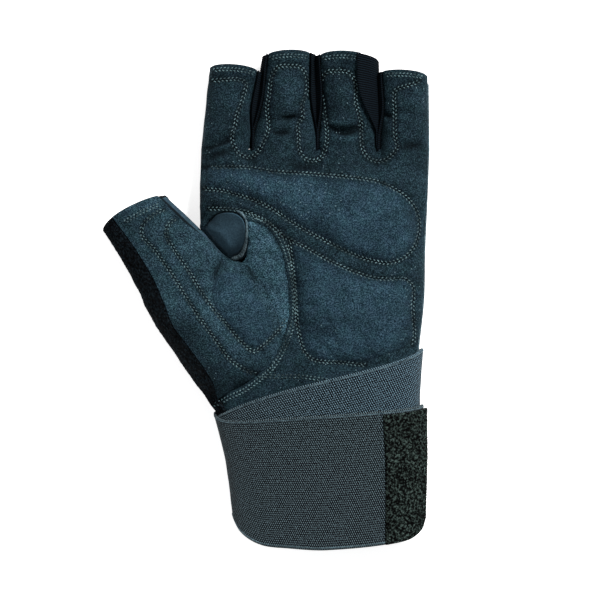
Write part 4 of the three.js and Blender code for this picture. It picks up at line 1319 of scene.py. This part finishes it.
S, T = gridOf(np.linspace(0, 1, thumbForm["steps"]), np.linspace(0, thumbForm["end"], thumbForm["rows"]))
thumbBase = suedePoints(S, T)
thumbNormal = normalsOf(thumbBase, -1)
rise, thumbTone = thumbRelief(thumbBase[..., 0], thumbBase[..., 1])
rise = rise * smooth(0, thumbForm["flatEdges"][0], S) * smooth(1, thumbForm["flatEdges"][1], S)
rise += thumbForm["hemRise"] * smooth(*thumbForm["hemEdge"], T * thumbForm["length"])
thumbTop = thumbBase + thumbNormal * rise[..., None]
left = thumbForm["left"] * palmWidth
low = thumbForm["low"]
far = 3 * palmWidth
beyond = [(left, low), (-far, low), (-far, far), (left, far)]
region = np.concatenate([keyhole[keyhole[:, 0] > left], beyond])
kept = trimTo(thumbTop, thumbNormal, region, allCells(S))
thumbLow = thumbTop - thumbNormal * thumbForm["thickness"]
thumbPiece = makeSheet(
    "thumb_leather", thumbTop, thumbLow, kept, -1, [suedeFinish, liningFinish],
    roll=thumbForm["roll"], tone=thumbTone,
)
standFor("thumb_suede")

rows = np.linspace(backHem["from"], backHem["to"] + backHem["beyond"], backHem["rows"])
S, T = gridOf(np.linspace(*backHem["across"]), rows)
hemBase = thumbPoints(S, T, 1)
hemNormal = normalsOf(hemBase, -1)
hemTop = hemBase - hemNormal * (backHem["low"] * smooth(1, backHem["sinksFrom"], S))[..., None]
hemLow = hemTop - hemNormal * backHem["thickness"]
# painted shadow: dark where the suede's edge overhangs the hem, lighter beyond it
across = 1 + (S - thumbForm["last"]) / (hemShare(T) + backHem["least"])
hemShadowTone = mix(*backHem["tones"], smooth(*backHem["shadowRun"], across))
hemPiece = makeSheet(
    "thumb_back_hem", hemTop, hemLow, allCells(S), -1, [hemFinish], roll=backHem["roll"], tone=hemShadowTone
)

# Fleece round the thumb's outer side
fleece = {
    "cut": (68, 130),
    "thickness": 1.5,
    "roll": 0.2,
    "steps": 110,
    "fuzz": 0.22,
    "fuzzSeed": 41,
    "ripple": 0.3,
    "size": 9.0,
    "flatBelow": (0.3, 2.0),
}
q = np.linspace(-1, thumbForm["last"], fleece["steps"])
Q, T = gridOf(q, np.linspace(0, thumbForm["end"], thumbForm["rows"]))
front = thumbPoints(np.clip(-Q, 0, 1) * fleeceShare(T), T, 1)
under = thumbPoints(np.clip(Q, 0, 1), T, -1)
fleeceBase = np.where((Q < 0)[..., None], front, under)
fleeceNormal = normalsOf(fleeceBase, 1)
fuzz = np.random.default_rng(fleece["fuzzSeed"]).uniform(-fleece["fuzz"], fleece["fuzz"], Q.shape)
across = fleeceBase[..., 0] - fleeceBase[..., 2]
fuzz += fleece["ripple"] * ripple(across, fleeceBase[..., 1], fleece["size"], fleece["fuzzSeed"] + 1)
fuzz *= smooth(*fleece["flatBelow"], fleeceBase[..., 2])
fleeceTop = fleeceBase + fleeceNormal * fuzz[..., None]
fleeceTop[..., 2] = np.maximum(fleeceTop[..., 2], 0)
fleeceLow = fleeceBase - fleeceNormal * fleece["thickness"]
fleecePiece = makeSheet(
    "thumb_fleece_cloth", fleeceTop, fleeceLow, allCells(Q), 1, [fleeceFinish, liningFinish],
    roll=fleece["roll"],
)
standFor("thumb_fleece")
print("thumb made")


# Crescent inset in the thumb's crotch, between the thumb's edge and the palm's seam
def planGrid(outline, step):
    # flat cells over an outline, with their upright normals
    low = outline.min(0) - 2 * step
    high = outline.max(0) + 2 * step
    X, Y = gridOf(np.arange(low[0], high[0], step), np.arange(low[1], high[1], step))
    points = np.stack([X, Y, np.zeros_like(X)], -1)
    upright = np.zeros_like(points)
    upright[..., 2] = 1
    return points, upright


def relax(height, inside, rounds, lift=0.0):
    # heights that even out inside, while those outside stay as they are
    for _ in range(rounds):
        around = height.copy()
        around[1:-1, 1:-1] = (
            height[:-2, 1:-1] + height[2:, 1:-1] + height[1:-1, :-2] + height[1:-1, 2:]
        ) / 4 + lift
        height = np.where(inside, around, height)
    return height


def stretchOver(points, rim):
    # heights of a cloth pulled tight between the heights of its rim
    x, y = points[..., 0], points[..., 1]
    apart = np.hypot(x[..., None] - rim[:, 0], y[..., None] - rim[:, 1])
    return relax(rim[np.argmin(apart, axis=-1), 2], isInside(x, y, rim[:, :2]), inset["rounds"])


inset = {
    "cut": (28, 64),
    "thickness": 1.4,
    "step": 0.6,
    "rounds": 1500,
    "thumbRun": (0.4, 0.77),
    "thumbSteps": 60,
    "thumbShift": (-1.6, -1.2, -1.9),
    "beside": 0.25,
    "from": 0.255,
    "to": 0.735,
    "left": -33,
    "under": 0.7,
    "ripples": ((0.3, 9.0, 51), (0.14, 4.0, 52)),
    "tone": 3.6,
    "reliefLight": 0.5,
    "cornerPixels": ((246.6, 222.5), (247.6, 230), (248.0, 246), (246.5, 257), (242, 263)),
    "cornerDrops": (0.1, 0.6),  # of its first two places, below the palm's seam
    "cornerHeights": (18.6, 16.4, 14.5),
}
edgeAt = np.linspace(*inset["thumbRun"], inset["thumbSteps"])
innerEdge = [thumbAt[key](edgeAt) for key in ("innerX", "innerY", "innerZ")]
thumbEdge = np.stack(innerEdge, -1) * [palmWidth, palmLength, palmDepth] + inset["thumbShift"]
reach = keyhole[:, 1] / palmLength
beside = (reach > inset["from"]) & (reach < inset["to"]) & (keyhole[:, 0] > inset["left"])
palmSide = offsetLine(keyhole, inset["beside"], True)[beside]
palmSide = palmSide[np.argsort(-palmSide[:, 1])]
palmSide = np.column_stack([palmSide, palmHeight(palmSide[:, 0], palmSide[:, 1]) - inset["under"]])
cornerHeights = tuple(palmSide[0, 2] - drop for drop in inset["cornerDrops"]) + inset["cornerHeights"]
corner = np.column_stack([fromPhoto(inset["cornerPixels"]), cornerHeights])
insetRim = np.concatenate([corner[::-1], palmSide, thumbEdge[::-1]])
points, upright = planGrid(insetRim[:, :2], inset["step"])
kept = trimTo(points, upright, insetRim[:, :2], allCells(points))
relief = ripples(points[..., 0], points[..., 1], inset["ripples"])
points[..., 2] = stretchOver(points, insetRim) + relief
# painted light: the inset is made lighter against the shade of its hollow, and lighter still on its ripples'
# crests
insetPiece = makeSheet(
    "thumb_inset_leather", points, points - upright * inset["thickness"], kept, 1, [suedeFinish],
    tone=inset["tone"] + inset["reliefLight"] * relief,
)
standFor("thumb_inset")

# Stretch gusset: a dome over its rim, with a skirt that goes down under the leather
gusset = {
    "cut": (28, 30),
    "centre": (-0.4, 0.665, 0.68),
    "corner": (-0.4, 0.6),
    "slope": 0.75,
    "rises": (-0.03, 0.15),
    "sunk": 0.35,
    "under": 0.43,
    "thickness": 1.2,
    "rings": np.concatenate([np.linspace(0.004, 1, 26), [1.015, 1.035, 1.08, 1.16, 1.26, 1.36]]),
    "drop": 1.6,
    "dropRun": 0.035,
    "skirt": 6,
}
gussetTable = (
    (-0.486, 0.682), (-0.483, 0.697), (-0.468, 0.712), (-0.44, 0.737), (-0.392, 0.745),
    (-0.352, 0.738), (-0.325, 0.715), (-0.315, 0.675), (-0.322, 0.625), (-0.345, 0.592),
    (-0.378, 0.58), (-0.41, 0.6), (-0.45, 0.638), (-0.476, 0.668),
)
rim = shareOutline(gussetTable, lineStep["rim"])
rim = np.concatenate([rim, rim[:1]])
centre = np.array(gusset["centre"]) * [palmWidth, palmLength, palmDepth]
beside, above = gusset["corner"]
above = rim[:, 1] / palmLength - above + gusset["slope"] * (rim[:, 0] / palmWidth - beside)
palmRim = palmHeight(rim[:, 0], rim[:, 1]) - gusset["sunk"]
rimZ = mix(palmDepth * gusset["under"], palmRim, smooth(*gusset["rises"], above))
r = gusset["rings"][:, None]
skirt = np.maximum(r - 1, 0)
drop = gusset["drop"] * smooth(0, gusset["dropRun"], skirt) + gusset["skirt"] * skirt
gussetTop = np.stack([
    mix(centre[0], rim[None, :, 0], r),
    mix(centre[1], rim[None, :, 1], r),
    mix(centre[2], rimZ[None, :], np.minimum(r, 1) ** 2) - drop,
], -1)
gussetLow = gussetTop - [0, 0, gusset["thickness"]]
gussetPiece = makeSheet(
    "crotch_gusset", gussetTop, gussetLow, allCells(gussetTop), -1, [stretchFinish], ring=True
)
standFor("thumb_gusset")
bindingForm = {
    "high": 0.3,
    "radius": (0.5, 1.05),
    "grows": (0.5, 0.9),
    "start": (0, 0.05),
    "end": (1.02, 0.93),
    "least": 0.1,
    "sides": 12,
}
bindingPixels = (
    (236, 210.5), (242, 214), (246, 219.5), (247, 226), (247, 234), (246, 243), (244, 250), (240.5, 255.5),
    (236, 258), (231, 258.5),
)
binding = smoothLine(fromPhoto(bindingPixels), lineStep["binding"])
share = np.linspace(0, 1, len(binding))
nearest = [int(np.argmin(np.hypot(rim[:, 0] - px, rim[:, 1] - py))) for px, py in binding]
bindingPath = np.column_stack([binding, rimZ[nearest] + bindingForm["high"]])
radius = mix(*bindingForm["radius"], smooth(*bindingForm["grows"], share))
radius = radius * smooth(*bindingForm["start"], share) * smooth(*bindingForm["end"], share)
radius = np.maximum(radius, bindingForm["least"])
bindingPiece = sweep("gusset_binding", bindingPath, radius, bindingForm["sides"], bindingFinish)
print("gusset made")


# Pads: each is filled between its seams like a cushion, over what carries it
def surfaceOf(pieces):
    points = []
    faces = []
    for piece in pieces:
        start = len(points)
        points += [vertex.co.copy() for vertex in piece.data.vertices]
        faces += [tuple(start + n for n in face.vertices) for face in piece.data.polygons]
    return BVHTree.FromPolygons(points, faces)


plumb = {"from": 0.2, "lowest": 0.0005}  # in metres


def dropOnto(surface, places):
    # where straight lines from above meet a surface, and its normals there
    hits = np.zeros((len(places), 3))
    normals = np.zeros((len(places), 3))
    found = np.zeros(len(places), bool)
    for i, (px, py) in enumerate(places):
        start = Vector(((px + originX) / 1000, (py + originY) / 1000, plumb["from"]))
        hit, normal, _, _ = surface.ray_cast(start, Vector((0, 0, -1)))
        if hit is None or hit.z < plumb["lowest"]:
            continue
        hits[i] = (px, py, hit.z * 1000)
        normals[i] = normal if normal.z > 0 else -normal
        found[i] = True
    return hits, normals, found


swelling = {
    "scale": 0.01,  # metres to a millimetre, so ten times the real size
    "frames": 20,
    "quality": 6,
    "pressure": 5.0,
    "slack": 0.06,
    "stiffness": 18.0,
    "fullShare": 98,
    "most": 1.1,
    "quickRounds": 900,
}


def swellCloth(points, kept, sewn):
    # Blender's Cloth blown up under pressure with its sewn rim held still, at ten times its size
    used, quads = np.unique(quadsOf(kept, points.shape[1]), return_inverse=True)
    flat = points.reshape(-1, 3)[used] * swelling["scale"]
    flat[:, 2] = 0
    mesh = bpy.data.meshes.new("swell")
    mesh.from_pydata(flat.tolist(), [], quads.reshape(-1, 4).tolist())
    piece = bpy.data.objects.new("swell", mesh)
    bpy.context.scene.collection.objects.link(piece)
    held = piece.vertex_groups.new(name="seam")
    held.add(np.nonzero(sewn.reshape(-1)[used])[0].tolist(), 1.0, "ADD")
    cloth = piece.modifiers.new("swell", "CLOTH")
    settings = cloth.settings
    settings.quality = swelling["quality"]
    settings.vertex_group_mass = held.name
    settings.tension_stiffness = swelling["stiffness"]
    settings.compression_stiffness = swelling["stiffness"]
    settings.shear_stiffness = swelling["stiffness"] / 3
    settings.use_pressure = True
    settings.uniform_pressure_force = swelling["pressure"]
    settings.shrink_min = -swelling["slack"]
    settings.effector_weights.gravity = 0
    cloth.collision_settings.use_collision = False
    for step in range(1, swelling["frames"] + 1):
        bpy.context.scene.frame_set(step)
    swollen = piece.evaluated_get(bpy.context.evaluated_depsgraph_get()).to_mesh()
    place = np.empty(len(swollen.vertices) * 3, np.float32)
    swollen.vertices.foreach_get("co", place)
    bpy.data.objects.remove(piece)
    bpy.context.scene.frame_set(1)
    height = np.zeros(points.shape[:2])
    height.reshape(-1)[used] = place.reshape(-1, 3)[:, 2]
    print("swollen", height.min(), height.max(), len(used))
    full = max(np.percentile(height[height > 0], swelling["fullShare"]), tiny)
    return np.clip(height / full, 0, swelling["most"])


def fillGaps(height, need):
    # heights beside a place where a ray missed fill it
    for _ in range(3):
        gaps = np.isnan(height)
        if not (gaps & need).any():
            break
        around = np.stack([np.roll(height, s, a) for s, a in ((1, 0), (-1, 0), (1, 1), (-1, 1))])
        height = np.where(gaps, np.nanmean(around, axis=0), height)
    return np.nan_to_num(height, nan=float(np.nanmean(height)))


padForm = {
    "fill": 0.6,
    "under": (0.12, 0.4),
    "reach": 0.01,
    "ripples": ((0.16, 11.0), (0.08, 5.0)),
    "pucker": {"high": 0.18, "wave": 4.4, "sway": 2, "beat": 6.0, "beside": 1.6, "wide": 1.8},
    # tone: painted shade along the sewn rim, reaching full tone this far in
    "tone": (0.98, 5.5),
    "mottle": (0.12, 26.0),
    "edge": 0.9,
}


def makePad(pad):
    outline, seed, rimWidth = pad["outline"], pad["seed"], pad["rimWidth"]
    points, upright = planGrid(outline, pad["step"])
    kept = trimTo(points, upright, outline, allCells(points))
    x, y = points[..., 0], points[..., 1]
    depth = depthInside(x, y, outline)
    puff = swellCloth(points, kept, depth < rimWidth)
    hits, _, found = dropOnto(surfaceOf([pad["over"]]), points[..., :2].reshape(-1, 2))
    need = depth > -padForm["reach"]
    seen = need & found.reshape(depth.shape)
    base = fillGaps(np.where(seen, hits[:, 2].reshape(depth.shape), np.nan), need)
    wave = ripples(x, y, [(*size, seed + n) for n, size in enumerate(padForm["ripples"])])
    edge = smooth(0, padForm["edge"], depth)
    top = base - padForm["under"][0] + pad["rim"] * edge + (pad["thickness"] - pad["rim"] + wave) * puff
    distance, along = fromLine(x, y, outline, True)
    pucker = padForm["pucker"]
    pull = threadPull(along, pucker["wave"], pucker["sway"], pucker["beat"], seed)
    top += pucker["high"] * pull * bell(distance - rimWidth - pucker["beside"], pucker["wide"]) * edge
    full, rimReach = padForm["tone"]
    mottle, size = padForm["mottle"]
    # painted shade at the sewn rim, with mottle
    tone = mix(pad["rimShade"], full, smooth(0, rimReach, depth)) * (1 + mottle * ripple(x, y, size, seed + 2))
    valley, dark = foldRelief(x, y, pad["creases"])
    upper = np.stack([x, y, top + valley], -1)
    lower = np.stack([x, y, base - padForm["under"][1] + np.minimum(valley, 0)], -1)
    piece = makeSheet(pad["name"], upper, lower, kept, 1, [litPadFinish], tone=tone * dark)
    standFor(pad["node"])
    return piece


palmPad = {
    "rim": 0.4,
    "rimWidth": 1.2,
    "rimShade": 0.55,
    "step": 0.75,
    "fall": 0.5,
    "over": palmPiece,
    "creases": (),
}
upperPad = makePad({
    **palmPad,
    "name": "palm_pad",
    "node": "upper_pad",
    "outline": upperPadLine,
    "thickness": 3.6,
    "seed": 61,
})
heelPad = makePad({
    **palmPad,
    "name": "heel_of_hand_pad",
    "node": "heel_pad",
    "outline": heelPadLine,
    "thickness": 3.8,
    "seed": 63,
})
thumbPad = makePad({
    "name": "ball_of_thumb_pad",
    "node": "thumb_pad",
    "outline": thumbPadLine,
    "thickness": 2.5,
    "rim": 0.1,
    "rimWidth": 0.2,
    "rimShade": 0.95,
    "step": 0.65,
    "fall": 0.85,
    "over": thumbPiece,
    "creases": thumbFolds,
    "seed": 65,
})
print("pads made")

# Elastic wrap
wrap = {
    "at": (
        -0.06, 0.0, 0.08, 0.25, 0.42, 0.5, 0.58, 0.75, 0.92,
        1.0, 1.06, 1.12, 1.18, 1.25, 1.4, 1.46, 1.5, 1.58,
    ),
    "top": (
        -0.055, -0.064, -0.04, 0.07, 0.172, 0.205, 0.185, 0.075, -0.03,
        -0.056, -0.078, -0.082, -0.074, -0.062, -0.035, -0.024, -0.018, -0.03,
    ),
    "width": (
        0.8, 0.73, 0.86, 1.0, 0.97, 0.9, 0.95, 1.0, 0.88,
        0.76, 0.84, 0.925, 0.965, 1.0, 0.985, 0.925, 0.86, 0.93,
    ),
}
wrapAt = columns(wrap)
wrapStart, wrapEnd = wrap["at"][0], wrap["at"][-1]
band = {"steps": 400, "rows": 66, "roll": 0.2, "wave": 0.09, "waveSize": 14.0, "waveSeed": 71, "round": 220}
selvedge = {"in": 0.015, "radius": 0.32, "sunk": 0.1, "sides": 8}


def sectionPoints(turn, y, out):
    at = y / palmLength
    angle = np.pi - 2 * np.pi * turn
    onPalm = np.sin(angle) >= 0
    cos = np.cos(angle)
    reach = np.sign(cos) * np.abs(cos) ** np.where(onPalm, 1, form["backSpread"])
    roundness = np.where(onPalm, form["palmRoundness"], form["backRoundness"])
    height = np.sqrt(np.maximum(0, 1 - np.abs(reach) ** roundness))
    left, right = bodyAt["left"](at), bodyAt["right"](at)
    x = palmWidth * (right + left) / 2 + (palmWidth * (right - left) / 2 + out) * reach
    mid = palmDepth * bodyAt["mid"](at)
    top = mid + (palmDepth * bodyAt["rise"](at) + out) * height
    low = mid - (palmDepth * bodyAt["drop"](at) + out) * height
    low = np.maximum(np.maximum(low, restHeight(y) - out), 0)
    return np.stack([x, y, np.where(onPalm, top, low)], -1)


def bandPoints(turn, share, out):
    top = palmLength * wrapAt["top"](turn)
    y = top - form["webbingWidth"] * wrapAt["width"](turn) * (1 - share)
    return sectionPoints(turn, y, form["layerGap"] + layerPitch * (turn - wrapStart) + out)


turns = np.linspace(wrapStart, wrapEnd, band["steps"])
T, H = gridOf(turns, np.linspace(0, 1, band["rows"]))
across = form["webbingWidth"] * H
wave = band["wave"] * ripple(band["round"] * (T % 1), across, band["waveSize"], band["waveSeed"])
run = runOf(bandPoints(turns, np.full(turns.shape, 0.5), 0))
uv = np.stack([np.broadcast_to(run[:, None], T.shape), across], -1)
wrapTop = bandPoints(T, H, form["webbingThickness"] + wave)
wrapLow = bandPoints(T, H, wave)
wrapPiece = makeSheet(
    "elastic_wrap", wrapTop, wrapLow, allCells(T), 1, [elasticFinish], roll=band["roll"], uv=uv
)
standFor("wrist_wrap")
for name, share in (("selvedge_upper", 1 - selvedge["in"]), ("selvedge_lower", selvedge["in"])):
    path = bandPoints(turns, np.full(turns.shape, share), form["webbingThickness"] - selvedge["sunk"])
    selvedgePiece = sweep(name, path, selvedge["radius"], selvedge["sides"], bindingFinish)
print("wrap made")

# Closure patch: the pile stands up in small loops
closure = {
    "from": 1.355,
    "steps": 110,
    "high": 0.97,
    "rows": 120,
    "thickness": 1.2,
    "roll": 0.2,
    "sunk": 0.2,
    "tufts": (-0.45, 0.35),
    "seed": 81,
}
across = np.linspace(0, closure["high"], closure["rows"])
T, H = gridOf(np.linspace(closure["from"], wrapEnd, closure["steps"]), across)
tufts = np.random.default_rng(closure["seed"]).uniform(*closure["tufts"], T.shape)
tufts[[0, -1], :] = 0
tufts[:, [0, -1]] = 0
inner = form["webbingThickness"] + form["layerGap"]
closureTop = bandPoints(T, H, inner + closure["thickness"] + tufts)
closureLow = bandPoints(T, H, inner - closure["sunk"])
closurePiece = makeSheet(
    "closure_pile", closureTop, closureLow, allCells(T), 1, [closureFinish], roll=closure["roll"]
)
standFor("closure_patch")
print("closure made")

# Stitches: two rows of short slanted threads along each seam, with a near-black cone at each end as the
# painted shade of its needle hole
stitching = {
    "pitch": 1.85,
    "hemPitch": 1.7,
    "thumbPitch": 1.6,
    "stagger": 0.5,
    "endShare": 0.3,
    "near": 0.3,
    "length": 1.15,
    "radius": 0.26,
    "slant": 0.55,
    "sides": 6,
    "along": np.array([0.0, 0.18, 0.5, 0.82, 1.0]),
    "lift": np.array([-0.12, 0.1, 0.14, 0.1, -0.12]),
    "size": np.array([0.45, 0.95, 1.0, 0.95, 0.45]),
    "steepest": 1.2,
    "rows": (0.6, -0.6),
    "thumbRows": (1.2, 2.7),
    "hole": {"radius": 0.5, "sunk": 0.15, "high": 0.1},
    "palmPart": (-0.33, 0.2),  # the thumb's rows run right of the first share or below the second
    "hem": {"from": 0.16, "in": 0.04, "edgeAt": 0.95, "at": 0.945, "steps": 30},
    "thumbHem": {"run": (0.12, 0.9), "at": 0.04},
}
topSurface = surfaceOf([
    palmPiece, thumbPiece, fleecePiece, insetPiece, upperPad, heelPad, thumbPad, wrapPiece
])
threadEnds = []


def placesAlong(line, spots):
    run = runOf(line)
    return np.stack([np.interp(spots, run, line[:, k]) for k in range(line.shape[1])], -1)


def sew(line, pitch=stitching["pitch"], offsets=stitching["rows"]):
    for k, offset in enumerate(offsets):
        row = offsetLine(line, offset, False)
        total = runOf(row)[-1]
        first = stitching["stagger"] * (1 + k)
        spots = np.arange(pitch * first, total - pitch * stitching["endShare"], pitch)
        here = placesAlong(row, spots)
        ahead = placesAlong(row, np.minimum(spots + stitching["near"], total))
        behind = placesAlong(row, np.maximum(spots - stitching["near"], 0))
        tangent = unit(ahead - behind)
        lean = stitching["slant"] if k == 0 else -stitching["slant"]
        turned = np.stack([
            tangent[:, 0] * math.cos(lean) - tangent[:, 1] * math.sin(lean),
            tangent[:, 0] * math.sin(lean) + tangent[:, 1] * math.cos(lean),
        ], -1)
        a, _, foundA = dropOnto(topSurface, here - turned * stitching["length"] / 2)
        b, _, foundB = dropOnto(topSurface, here + turned * stitching["length"] / 2)
        _, normals, found = dropOnto(topSurface, here)
        good = foundA & foundB & found & (np.abs(a[:, 2] - b[:, 2]) < stitching["steepest"])
        threadEnds.append((a[good], b[good], normals[good]))


for name in seams:
    sew(seams[name])
right, low = stitching["palmPart"]
alongPalm = keyhole[(keyhole[:, 0] > right * palmWidth) | (keyhole[:, 1] < low * palmLength)]
start = int(np.argmax(np.linalg.norm(np.roll(alongPalm, -1, axis=0) - alongPalm, axis=-1))) + 1
sew(np.roll(alongPalm, -start, axis=0), stitching["thumbPitch"], stitching["thumbRows"])
hem = stitching["hem"]
for finger in range(4):
    last = palmEdge(np.array(finger), np.array(hem["edgeAt"])) - hem["in"]
    f = np.linspace(hem["from"], last, hem["steps"])
    hemLine = stallPoints(np.full(f.shape, finger), f, np.full(f.shape, hem["at"]), 1)[:, :2]
    sew(hemLine, stitching["hemPitch"])
s = np.linspace(*stitching["thumbHem"]["run"], hem["steps"])
sew(suedePoints(s, np.full(s.shape, stitching["thumbHem"]["at"]))[:, :2], stitching["hemPitch"])
starts, ends, normals = [np.concatenate(part) for part in zip(*threadEnds)]


def makeThreads():
    sides = stitching["sides"]
    steps = len(stitching["along"])
    along = ends - starts
    sideways = unit(np.cross(normals, unit(along)))
    up = np.cross(unit(along), sideways)
    centre = starts[:, None] + along[:, None] * stitching["along"][None, :, None]
    centre = centre + up[:, None] * stitching["lift"][None, :, None]
    size = stitching["size"] * stitching["radius"]
    ring = circlesOf(sideways, up, sides)
    points = centre[:, :, None] + ring[:, None] * size[None, :, None, None]
    pattern = []  # the walls of one thread
    for a in range(0, (steps - 1) * sides, sides):
        for k in range(sides):
            n = (k + 1) % sides
            pattern.append((a + k, a + n, a + sides + n, a + sides + k))
    first = np.arange(len(along)) * steps * sides
    faces = (np.array(pattern)[None] + first[:, None, None]).reshape(-1, 4).tolist()
    for start in first:
        faces.append(tuple(range(start + sides - 1, start - 1, -1)))
        faces.append(tuple(range(start + (steps - 1) * sides, start + steps * sides)))
    return makeMesh("stitches", points.reshape(-1, 3), faces, [highlitThreadFinish])


def makeHoles():
    # each hole is a near-black cone: painted shade
    sides = stitching["sides"]
    hole = stitching["hole"]
    places = np.concatenate([starts, ends])
    up = np.concatenate([normals, normals])
    sideways = unit(np.cross(up, [1.0, 0.0, 0.0]))
    ring = circlesOf(sideways, np.cross(up, sideways), sides)
    low = places[:, None] + ring * hole["radius"] - up[:, None] * hole["sunk"]
    tip = places[:, None] + up[:, None] * hole["high"]
    faces = []
    for base in range(0, len(places) * (sides + 1), sides + 1):
        for n in range(sides):
            faces.append((base + n, base + (n + 1) % sides, base + sides))
        faces.append(tuple(range(base + sides - 1, base - 1, -1)))
    points = np.concatenate([low, tip], axis=1).reshape(-1, 3)
    return makeMesh("needle_hole_shade", points, faces, [holeShadeFinish])


for piece in (makeThreads(), makeHoles()):
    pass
print("stitches made", len(starts))
